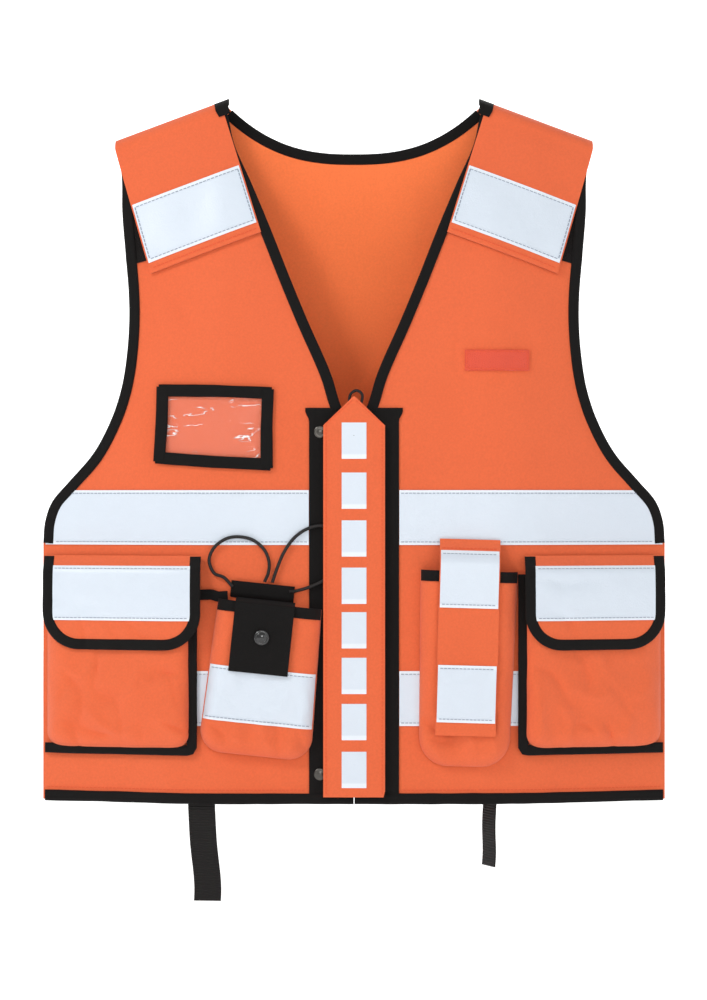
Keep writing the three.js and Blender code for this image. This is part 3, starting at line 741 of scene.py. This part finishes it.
for side, sign in sides.items():
    group = onFront[side]
    for name, u, near in (("neck_edge_", 0.0, 0.06), ("armhole_edge_", 1.0, 0.94)):
        run = 50 if u < 0.5 else 80
        ts = steps(0, 0.135, 10) + steps(0.16, 0.99, 30) + steps(1.005, 2, run)
        frames = edgeFrames(lambda t: shoulderEdge(sign, u, t), lambda t: shoulderEdge(sign, near, t), ts)
        old = "neck_binding_" if u < 0.5 else "armhole_binding_"
        keep(name + side, sweepBm(frames, bindingSection, (0.02, 0.3)), "black binding", group, old + side)
    bm = bindingBm([(sign * 0.0004, hem + 0.0036), (sign * 0.2855, hem + 0.0036)], 0.0011)
    keep("hem_edge_" + side, bm, "black binding", "front_" + side, "hem_binding_" + side)
    ts = steps(0.0, 1.0, 90)
    u = 1.0 if sign > 0 else 0.0
    frames = edgeFrames(lambda t: backPlace(u, mix(0.37, 1, t)),
                        lambda t: backPlace(mix(u, 0.5, 0.05), mix(0.37, 1, t)), ts)
    keep("back_armhole_edge_" + side, sweepBm(frames, bindingSection, (0.02, 0.4)), "black binding", "back",
         "back_armhole_binding_" + side)

# the side seams, rolled round the line that the fronts open about
for side, sign in sides.items():
    frames = [(Vector((sign * 0.2861, 0, z)), Vector((1, 0, 0)), Vector((0, 1, 0)))
              for z in steps(-0.403, hem, 60)]
    bm = sweepBm(frames, oval(0.0012, 0.0013, 10, 0.8), (0.008, 0.24))
    keep("side_seam_" + side, bm, "orange cloth", "back")

low, high = 0.24, 0.76
frames = edgeFrames(lambda t: backPlace(mix(low, high, t), 1), lambda t: backPlace(mix(low, high, t), 0.985),
                    steps(0, 1, 90))
keep("back_neck_edge", sweepBm(frames, bindingSection, (0.02, 0.25)), "black binding", "back",
     "back_neck_binding")
bm = bindingBm([(-0.2855, hem + 0.0036), (0.2855, hem + 0.0036)], 0.0011, "back")
keep("back_hem_edge", bm, "black binding", "back", "back_hem_binding")
print("bindings")

# pockets


def joinBms(parts):
    whole = bmesh.new()
    for part in parts:
        mesh = bpy.data.meshes.new("part")
        part.to_mesh(mesh)
        part.free()
        whole.from_mesh(mesh)
        bpy.data.meshes.remove(mesh)
    return whole


def bunch(t):
    # more rows near both ends
    return 0.5 - 0.5 * math.cos(math.pi * t)


def swell(distance, radius):
    return math.sqrt(max(1 - (1 - min(max(distance / radius, 0), 1)) ** 2, 0))


class Bag:
    # a patch pocket in its own frame: x across, z up from its mouth
    def __init__(self, values, seed, belly=0.0):
        self.centre, self.turn, self.height = values["place"], math.radians(values["turn"]), values["height"]
        self.top, self.bottom, self.corner = values["top"], values["bottom"], values["corner"]
        self.depth, self.belly, self.seed, self.round = values["depth"], belly, seed, 0.016

    def world(self, x, z):
        c, s = math.cos(self.turn), math.sin(self.turn)
        return self.centre[0] + x * c + z * s, self.centre[1] - x * s + z * c

    def half(self, z):
        wide = mix(self.top, self.bottom, min(max(-z / self.height, 0), 1)) / 2
        rise = self.corner - min(max(self.height + z, 0), self.corner)
        return wide - self.corner + math.sqrt(max(self.corner ** 2 - rise ** 2, 0))

    def lift(self, x, z):
        out = swell(self.half(z) - abs(x), self.round) * swell(self.height + z, self.round * 1.1)
        soft = abs(noise.noise(Vector((x * 26 + z * 14, z * 20 - x * 9, self.seed)))) ** 0.8
        low = ease(-z, self.height * 0.15, self.height)
        sink = soft * mix(0.0014, 0.0075, low)
        sink += crease(x * 1.7, z * 1.7, self.seed + 3, 0.2) * mix(0.0010, 0.0042, low)
        sink += crease(x * 2.6 + z, z * 2.2, self.seed + 8, 0.2) * 0.0022 * low
        full = self.depth + self.belly * ease(-z, self.height * 0.5, self.height * 0.8)
        return 0.0026 + (full - sink) * out

    def place(self, x, z, rise=0.0):
        return spot(*self.world(x, z), self.lift(x, z) + rise)

    def cloth(self, cols=56, rows=60):
        def at(u, v):
            z = -self.height * math.sin(math.pi / 2 * v)
            return self.place((2 * bunch(u) - 1) * self.half(z), z)
        return clothBm(cols, rows, at, 0.0011, (self.top, self.height))

    def strip(self, top, bottom, rise=0.0009, thick=0.0006, inset=0.0012):
        def at(u, v):
            z = mix(top, bottom, v)
            return self.place((2 * bunch(u) - 1) * (self.half(z) - inset), z, rise)
        return clothBm(56, 12, at, thick, (0.1, 1))


cargo = dict(outer=0.283, mouth=-0.4288, bottom=-0.592, corner=0.014, depth=0.0120,
             inner=dict(left=0.1565, right=0.150), flapInner=dict(left=0.1565, right=0.1405), flapOuter=0.285,
             flapTop=-0.414, flapHeight=0.087, flapCorner=0.033, stand=0.0167, foot=0.0044)

for side, sign in sides.items():
    inner, outer = cargo["inner"][side], cargo["outer"]
    size = dict(place=(sign * (inner + outer) / 2, cargo["mouth"]), turn=0, top=outer - inner,
                height=cargo["mouth"] - cargo["bottom"], bottom=outer - inner, corner=cargo["corner"],
                depth=cargo["depth"])
    bm = Bag(size, 4.0 + sign, 0.005).cloth(64, 64)
    keep("cargo_pocket_cloth_" + side, bm, "orange cloth", "front_" + side, "cargo_pocket_" + side)
    inX, outX = sign * (inner - 0.0022), sign * (outer + 0.0020)
    low = cargo["bottom"] - 0.0012
    path = [(inX, cargo["mouth"] - 0.004), (inX, low + 0.002), (inX + sign * 0.002, low), (outX, low)]
    bm = bindingBm(path, 0.0050, half=0.0048, thick=0.0019, step=0.0035)
    keep("cargo_pocket_edge_" + side, bm, "black binding", "front_" + side)

    left, right, tall = cargo["flapInner"][side], cargo["flapOuter"], cargo["flapHeight"]
    middle, wide, corner = (left + right) / 2, (right - left) / 2, cargo["flapCorner"]

    def flapHalf(z):
        rise = corner - min(max(tall + z, 0), corner)
        return wide - corner + math.sqrt(max(corner ** 2 - rise ** 2, 0))

    def flapLift(x, z):
        s = -z / tall
        wave = noise.noise(Vector((x * 26, z * 9, 20.0 + sign))) * 0.0030 * ease(s, 0.1, 1)
        wave += 0.0026 * math.sin(math.pi * min(s * 1.05, 1)) * ease(s, 0.10, 0.45)
        wave += 0.0010 * ease(s, 0.05, 0.3)
        wave -= crease(x * 1.6, z * 1.6, 90.0 + sign, 0.16) * 0.0020 * ease(s, 0.05, 0.3)
        sag = 0.00135 * ease(x, 0.010, wide) * ease(s, 0.2, 1)
        return mix(cargo["foot"], cargo["stand"], ease(s, -0.02, 0.20)) + max(wave, -0.0003) - sag

    def flapAt(x, z, rise=0.0):
        return spot(sign * (middle + x), cargo["flapTop"] + z, flapLift(x, z) + rise)

    def flapGrid(u, v):
        z = -mix(0.0018, tall, mix(v ** 1.4, math.sin(math.pi / 2 * v), 0.5))
        return flapAt((2 * bunch(u) - 1) * flapHalf(z), z)

    body = "cargo_flap_" + side
    bm = clothBm(56, 52, flapGrid, 0.0015, (0.13, 0.087))
    keep("cargo_flap_cloth_" + side, bm, "orange cloth", body, body)
    inset = 0.0040
    path = [(wide - inset, -0.0025), (wide - inset, -tall + corner)]
    path += arc(wide - corner, corner - tall, corner - inset, 0, -90, 12)
    path += arc(corner - wide, corner - tall, corner - inset, -90, -180, 12)
    path += [(inset - wide, -0.0025)]
    bm = bindingBm(path, -0.0007, thick=0.0019, step=0.003, surface=flapAt)
    keep("cargo_flap_edge_" + side, bm, "black binding", body, "cargo_flap_binding_" + side)

    def flapTape(u, v):
        z = mix(-0.011, -0.061, v)
        return flapAt((2 * u - 1) * (flapHalf(z) - 0.0085), z, 0.0009)

    bm = clothBm(44, 20, flapTape, cloth["tape"], (0.12, 1))
    keep("cargo_flap_reflector_" + side, bm, "reflective tape", body, "cargo_flap_tape_" + side)
    for z in (-0.0135, -0.0585):
        reach = flapHalf(z) - 0.010
        stitch(body, [(reach, z), (-reach, z)], lambda x, zz: flapAt(x, zz, 0.0011))

# radio pocket
radioValues = dict(place=(-0.0766, -0.460), turn=6, height=0.139, top=0.095, bottom=0.104, corner=0.022,
                   depth=0.0140, tabWidth=0.054, tabLength=0.067, tabTop=0.0038, tabX=-0.004, tabLift=0.0196,
                   tabFoot=0.0080)
radio = Bag(radioValues, 31.0, 0.002)
keep("radio_pocket_cloth", radio.cloth(), "orange cloth", "front_right", "radio_pocket")
keep("radio_pocket_edge", radio.strip(0.0005, -0.0095, 0.0012, 0.0016, 0.0004), "black binding", "front_right",
     "radio_pocket_binding")
bm = radio.strip(-0.059, -0.109)
keep("radio_pocket_reflector", bm, "reflective tape", "front_right", "radio_pocket_tape")
for z in (-0.0618, -0.1062):
    reach = radio.half(z) - 0.003
    stitch("front_right", [(-reach, z), (reach, z)], lambda x, zz: radio.place(x, zz, 0.0012))

path = [(-0.1150, -0.4525), (-0.1240, -0.4530), (-0.1300, -0.4510), (-0.1415, -0.4515)]
bm = bindingBm(path, 0.0042, half=0.0048, thick=0.0018, step=0.002)
keep("radio_pocket_tie", bm, "black binding", "front_right")


def tabAt(x, z, rise=0.0):
    s = (radioValues["tabTop"] - z) / radioValues["tabLength"]
    bend = 0.0010 * math.sin(3.0 * s) * ease(s, 0.3, 1)
    lift = mix(radioValues["tabFoot"], radioValues["tabLift"], ease(s, -0.01, 0.065)) + bend
    return spot(*radio.world(x, z), lift + rise)


def tabGrid(u, v):
    z = radioValues["tabTop"] - radioValues["tabLength"] * v ** 1.7
    return tabAt(radioValues["tabX"] + (u - 0.5) * radioValues["tabWidth"], z)


def footGrid(u, v):
    lift = 0.0060 - 0.0030 * ease(v, 0.72, 1) - 0.0022 * (2 * u - 1) ** 10
    return spot(*radio.world(mix(-0.037, 0.021, u), mix(0.0183, 0.0030, v)), lift)


bm = clothBm(30, 60, tabGrid, 0.0015, (0.054, 0.067))
keep("radio_tab_cloth", bm, "black binding", "radio_tab", "radio_tab")
bm = clothBm(30, 12, footGrid, 0.0012, (0.058, 0.014))
keep("radio_tab_foot", bm, "black binding", "front_right", "radio_tab_base")


capRings = ((1, 0), (1, 0.35), (0.9, 0.62), (0.72, 0.7), (0.66, 0.62), (0.5, 0.8), (0.2, 0.98), (0, 1))


def dome(place, radius, height):
    # a pressed stud cap, spun about its own middle, with a raised centre inside a rim
    bm = bmesh.new()
    bm.loops.layers.uv.new("map")
    verts = [bm.verts.new((r * radius, 0, h * height)) for r, h in capRings]
    edges = [bm.edges.new(pair) for pair in zip(verts, verts[1:])]
    bmesh.ops.spin(bm, geom=verts + edges, cent=(0, 0, 0), axis=(0, 0, 1), angle=math.tau, steps=40)
    closeBm(bm, 1e-6)
    turn = Matrix.Rotation(math.radians(90), 4, "X")
    bmesh.ops.transform(bm, matrix=Matrix.Translation(place) @ turn, verts=bm.verts)
    return bm


bm = dome(tabAt(radioValues["tabX"], -0.0302, 0.0001), 0.0072, 0.0030)
keep("radio_tab_cap", bm, "stud plastic", "radio_tab", "radio_tab_stud")

# torch pocket
torchValues = dict(place=(0.105, -0.430), turn=1.6, height=0.178, top=0.089, bottom=0.082, corner=0.026,
                   depth=0.0140, flapRise=0.031, flapWidth=0.055, flapLength=0.180, stand=0.0193, foot=0.0044)
torch = Bag(torchValues, 47.0)
keep("torch_pocket_cloth", torch.cloth(56, 72), "orange cloth", "front_left", "torch_pocket")
keep("torch_pocket_edge", torch.strip(0.0005, -0.0095, 0.0012, 0.0016, 0.0004), "black binding", "front_left",
     "torch_pocket_binding")


def torchFlapAt(x, z, rise=0.0):
    s = (torchValues["flapRise"] - z) / torchValues["flapLength"]
    wave = noise.noise(Vector((x * 16, z * 13, 53.0))) * 0.0013 * ease(s, 0.15, 0.6)
    lift = mix(torchValues["foot"], torchValues["stand"], ease(s, -0.01, 0.14)) + max(wave, -0.0002)
    return spot(*torch.world(x, z), lift + rise)


def torchFlapGrid(u, v):
    z = torchValues["flapRise"] - mix(0.0018, torchValues["flapLength"], v)
    return torchFlapAt((u - 0.5) * torchValues["flapWidth"], z)


bm = clothBm(24, 90, torchFlapGrid, 0.0015, (0.055, 0.18))
keep("torch_flap_cloth", bm, "orange cloth", "torch_flap", "torch_flap")
rise = torchValues["flapRise"]
for name, top, bottom in (("upper", -0.012, -0.064), ("lower", -0.116, -0.168)):
    bm = clothBm(20, 28, lambda u, v: torchFlapAt((u - 0.5) * 0.053, rise + mix(top, bottom, v), 0.0009),
                 cloth["tape"], (0.053, 1))
    keep("torch_flap_reflector_" + name, bm, "reflective tape", "torch_flap", "torch_flap_tape_" + name)
    for z in (top - 0.003, bottom + 0.003):
        path = [(-0.0245, rise + z), (0.0245, rise + z)]
        stitch("torch_flap", path, lambda x, zz: torchFlapAt(x, zz, 0.0011))
stitch("torch_flap", [(-0.025, rise - 0.010), (0.025, rise - 0.010)], lambda x, z: torchFlapAt(x, z, 0.0003),
       "orange thread")
print("pockets and flaps")

# zip, placket and centre band

front = dict(placket=0.041, placketTop=-0.281, placketEnd=-0.6335, ear=0.0035, zipTop=-0.302, zipEnd=-0.634)
for side, sign in sides.items():
    def placketPlace(u, v):
        z = mix(front["placketTop"], front["placketEnd"], v)
        ear = front["ear"] * ease(z, front["placketTop"] - 0.012, front["placketTop"] - 0.003)
        x = mix(max(neckEdge(z), panel["zipGap"]) + 0.0004, front["placket"] + ear, u)
        edgeFold = 0.0003 * math.sin(math.pi * min(max((abs(x) - 0.0345) / 0.0065, 0), 1))
        return spot(sign * x, z, 0.0025 + edgeFold)
    keep("placket_cloth_" + side, clothBm(20, 110, placketPlace, 0.0008, (0.038, 0.35)), "black binding",
         "front_" + side, "placket_" + side)
    teeth = bmesh.new()
    shape = Matrix.Diagonal((0.0033, 0.0017, 0.0013, 1))
    count = round((front["zipTop"] - front["zipEnd"]) / 0.0024)
    for k in range(count):
        z = mix(front["zipTop"], front["zipEnd"], (k + (0.5 if sign > 0 else 0)) / count)
        place = Matrix.Translation(spot(sign * 0.0019, z, 0.0020))
        bmesh.ops.create_cube(teeth, size=1, matrix=place @ shape)
    keep("zip_teeth_" + side, teeth, "zip plastic", "front_" + side, "zip_coil_" + side, smooth=False)

slider = dict(top=-0.300, bottom=-0.313, half=0.0045, lift=0.0050)


def sliderBm():
    parts = []
    bm = bmesh.new()
    bm.loops.layers.uv.new("map")
    bmesh.ops.create_cube(bm, size=1)
    for vert in bm.verts:
        half = slider["half"] * (1 if vert.co.z > 0 else 0.62)
        z = slider["top"] if vert.co.z > 0 else slider["bottom"]
        depth = level(0, z, "front") + slider["lift"] + (0.0009 if vert.co.y < 0 else -0.0012)
        vert.co = Vector((half * 2 * vert.co.x, -depth, z))
    bmesh.ops.bevel(bm, geom=bm.edges[:], offset=0.0007, segments=3, affect="EDGES", profile=0.5, material=-1)
    parts.append(bm)
    frames = []
    for k in range(17):
        turn = math.pi * k / 16
        z = mix(slider["top"] - 0.0025, slider["bottom"] + 0.003, k / 16)
        depth = level(0, z, "front") + slider["lift"] + 0.0009 + 0.0017 * math.sin(turn) - 0.0002
        frames.append((Vector((0, -depth, z)), Vector((1, 0, 0)), Vector((0, -1, 0))))
    parts.append(sweepBm(frames, oval(0.0010, 0.0004, 8)))
    return joinBms(parts)


keep("zip_slider_body", sliderBm(), "zip plastic", "zip_slider", "zip_slider")

band = dict(half=0.028, bottom=-0.6355, shoulder=-0.297, point=-0.270, lift=0.0077, foot=0.0044)


def bandTop(x):
    return mix(band["point"], band["shoulder"], min(abs(x) / band["half"], 1))


def bandAt(x, z, rise=0.0):
    wave = 0.0005 * noise.noise(Vector((x * 30, z * 14, 61.0)))
    return spot(x, z, band["lift"] + wave + rise)


def bandGrid(u, v):
    x = mix(-band["half"], band["half"], min(u / 0.94, 1))
    z = mix(band["bottom"] + 0.0050 * ease(u, 0.925, 0.94), bandTop(x), v)
    point = bandAt(x, z)
    if u > 0.94:
        t = (u - 0.94) / 0.06
        base = spot(band["half"], z, band["foot"])
        point = Vector((point.x + 0.0003 * math.sin(math.pi * t), mix(point.y, base.y, t), z))
    return point


bm = clothBm(50, 120, bandGrid, 0.0013, (0.056, 0.36))
keep("band_cloth", bm, "orange cloth", "centre_band", "centre_band")
bars = dict(middles=(-0.311, -0.3565, -0.400, -0.443, -0.4835, -0.525, -0.567, -0.6105), height=0.033,
            width=0.0225)
parts = []
for middle in bars["middles"]:
    def barGrid(u, v):
        return bandAt((u - 0.5) * bars["width"], middle + (v - 0.5) * bars["height"], 0.0003)
    parts.append(clothBm(8, 10, barGrid, 0.0003, (bars["width"], 0.5)))
keep("band_bars", joinBms(parts), "reflective tape", "centre_band")
for side in (-1, 1):
    path = [(side * 0.0255, band["bottom"] + 0.003), (side * 0.0255, bandTop(0.0255) - 0.001),
            (side * 0.001, bandTop(0.001) - 0.003)]
    stitch("centre_band", path, lambda x, z: bandAt(x, z, 0.0001), "orange thread")
for name, z in (("upper", -0.303), ("lower", -0.615)):
    keep("band_cap_" + name, dome(spot(-0.031, z, 0.0026), 0.0055, 0.0016), "stud metal", "front_right",
         "band_stud_" + name)
print("zip, plackets and band")

# badge holder, name patch, cords and tails

badge = dict(corners=((-0.1750, -0.2650), (-0.0785, -0.2675), (-0.0795, -0.3325), (-0.1780, -0.3265)),
             ear=0.0035, lift=0.0033)
parts = []
for k in range(4):
    (x0, z0), (x1, z1) = badge["corners"][k], badge["corners"][(k + 1) % 4]
    size = math.hypot(x1 - x0, z1 - z0)
    dx, dz = (x1 - x0) / size, (z1 - z0) / size
    ear = badge["ear"]
    wobble = 0.0007 if k % 2 else -0.0007
    path = [(x0 - dx * ear, z0 - dz * ear), ((x0 + x1) / 2 + dz * wobble, (z0 + z1) / 2 - dx * wobble),
            (x1 + dx * ear, z1 + dz * ear)]
    parts.append(bindingBm(path, badge["lift"] + 0.0003 * (k % 2), half=0.0056, thick=0.0012))
keep("badge_frame", joinBms(parts), "black binding", onFront["right"], "id_holder_frame")


def vinylAt(u, v):
    a, b, c, d = (Vector(p) for p in badge["corners"])
    point = a.lerp(b, u).lerp(d.lerp(c, u), v)
    puff = 0.0004 * math.sin(math.pi * u) * math.sin(math.pi * v)
    dent = 0.0007 * noise.noise(Vector((u * 6, v * 3, 71.0)))
    dent += 0.0003 * noise.noise(Vector((u * 19, v * 8, 72.0)))
    return spot(point.x, point.y, 0.0022 + puff + dent * math.sin(math.pi * u) * math.sin(math.pi * v))


bm = clothBm(60, 40, vinylAt, 0.0004, (0.1, 0.065))
keep("badge_window", bm, "clear vinyl", onFront["right"], "id_holder_window")

patch = dict(x=0.1305, z=-0.2375, width=0.059, height=0.019)


def pileGrid(u, v):
    return spot(patch["x"] + (u - 0.5) * patch["width"], patch["z"] + (0.5 - v) * patch["height"], 0.0027)


bm = clothBm(24, 10, pileGrid, 0.0011, (patch["width"], patch["height"]))
keep("name_pile", bm, "patch pile", onFront["left"], "name_patch")
left, right = patch["x"] - 0.028, patch["x"] + 0.028
top, bottom = patch["z"] + 0.008, patch["z"] - 0.008
stitch(onFront["left"], [(left, top), (right, top), (right, bottom), (left, bottom), (left, top)],
       lambda x, z: spot(x, z, 0.0028), "orange thread")


def rounded(points, count=12):
    # a smooth line through the points
    ends = [2 * Vector(points[0]) - Vector(points[1])] + [Vector(p) for p in points]
    ends.append(2 * Vector(points[-1]) - Vector(points[-2]))
    line = []
    for k in range(1, len(ends) - 2):
        a, b, c, d = ends[k - 1:k + 3]
        for n in range(count):
            t = n / count
            line.append(0.5 * ((2 * b) + (c - a) * t + (2 * a - 5 * b + 4 * c - d) * t * t
                               + (3 * b - a - 3 * c + d) * t ** 3))
    return line + [ends[-2]]


cords = dict(
    radio_cord_loop=dict(radius=0.0015, stand=0.0047, body="front_right", points=(
        (-0.1105, -0.4440), (-0.1185, -0.4355), (-0.1275, -0.4315), (-0.132, -0.420), (-0.1275, -0.4085),
        (-0.117, -0.4005), (-0.105, -0.3985), (-0.092, -0.4015), (-0.082, -0.410), (-0.0775, -0.421),
        (-0.078, -0.431), (-0.0815, -0.4396))),
    band_cord_loop=dict(radius=0.0015, stand=0.0047, body="front_right", points=(
        (-0.0745, -0.4402), (-0.070, -0.427), (-0.0635, -0.412), (-0.054, -0.399), (-0.042, -0.391),
        (-0.029, -0.3885), (-0.019, -0.395), (-0.0145, -0.409), (-0.0165, -0.425), (-0.026, -0.437),
        (-0.040, -0.444), (-0.0515, -0.4475), (-0.0590, -0.4485))),
    zip_pull_cord=dict(radius=0.0013, stand=0.0045, body="zip_slider", points=(
        (-0.0022, -0.2997), (-0.0034, -0.288), (-0.0044, -0.276), (-0.003, -0.2685), (0.0024, -0.2653),
        (0.0074, -0.269), (0.0066, -0.277), (0.004, -0.289), (0.0022, -0.2997))))

for name, cord in cords.items():
    # the pull hangs from its slider, and the loops lie on the drape
    slack = 0 if name == "zip_pull_cord" else 1
    line = rounded([Vector((x, -level(x, z, "front") - cord["stand"] - ripple(x, z) * slack, z))
                    for x, z in cord["points"]])
    length = sum((b - a).length for a, b in zip(line, line[1:]))
    frames = []
    for k, point in enumerate(line):
        along = (line[min(k + 1, len(line) - 1)] - line[max(k - 1, 0)]).normalized()
        across = along.cross(Vector((0, -1, 0))).normalized()
        frames.append((point, across, across.cross(along).normalized()))
    ring = [(x * cord["radius"], z * cord["radius"]) for x, z in arc(0, 0, 1, 0, 330, 11)]
    bm = sweepBm(frames, ring, (0.01, length))
    label = name.replace("_loop", "").replace("zip_pull", "pull") + "_elastic"
    piece = keep(label, bm, "elastic cord", cord["body"], name)
    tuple(line[0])
    print(name, "is", round(length * 1000), "mm long")

tails = dict(left=dict(x0=0.124, x1=0.122, top=-0.591, bottom=-0.700, twist=66, body="front_left"),
             right=dict(x0=-0.1395, x1=-0.1345, top=-0.591, bottom=-0.731, twist=6, body="front_right"))
for side, tail in tails.items():
    def tailAt(u, v, tail=tail):
        z = mix(tail["top"], tail["bottom"], v)
        turn = math.radians(tail["twist"]) * ease(-z, 0.604, 0.642)
        across = (u - 0.5) * 0.0248
        x = mix(tail["x0"], tail["x1"], ease(v, 0.3, 1)) + 0.0012 * math.sin(9 * v) * ease(v, 0.4, 1)
        depth = level(x, z, "front") + ripple(x, z) - 0.0010 + math.sin(turn) * (across - 0.0124)
        return Vector((x + math.cos(turn) * across, -depth, z))
    bm = clothBm(10, 50, tailAt, 0.0015, (0.025, tail["top"] - tail["bottom"]))
    keep("webbing_" + side, bm, "black webbing", tail["body"], "webbing_tail_" + side)

# sewing

for side, sign in sides.items():
    group = "front_" + side
    for row in ("chest", "waist"):
        top, bottom = tapes[row]
        for z in (top - 0.0028, bottom + 0.0028):
            reach = armholeEdge(z) - 0.010
            if row == "waist":
                reach = cargo["inner"][side] - 0.004
            stitch(group, [(sign * 0.043, z), (sign * reach, z)], lambda x, zz: spot(x, zz, 0.0026))
    path = [(sign * 0.045, hem + 0.0115), (sign * 0.284, hem + 0.0115)]
    stitch(group, path, lambda x, z: spot(x, z, 0.0013), "orange thread")
    body = "shoulder_flap_" + side

    def patchAt(a, b):
        return flapPlace(sign, a / 0.1, b / 0.13, 0.0057)
    low, high = 0.53 * 0.13 + 0.0016, 0.93 * 0.13 - 0.0028
    for path in ([(0.003, low), (0.097, low)], [(0.003, high), (0.097, high)], [(0.003, low), (0.003, high)],
                 [(0.097, low), (0.097, high)]):
        stitch(body, path, patchAt)
    stitch(body, [(0.003, 0.126), (0.097, 0.126)], lambda a, b: flapPlace(sign, a / 0.1, b / 0.13, 0.0048),
           "orange thread")
for row in ("chest", "waist"):
    top, bottom = tapes[row]
    for z in (top - 0.0028, bottom + 0.0028):
        reach = armholeEdge(z) - 0.010
        stitch("back", [(-reach, z), (reach, z)], lambda x, zz: spot(x, zz, 0.0026, "back"))
sewAll()
print("sewing:", sum(len(rows) for rows in stitches.values()), "stitches")
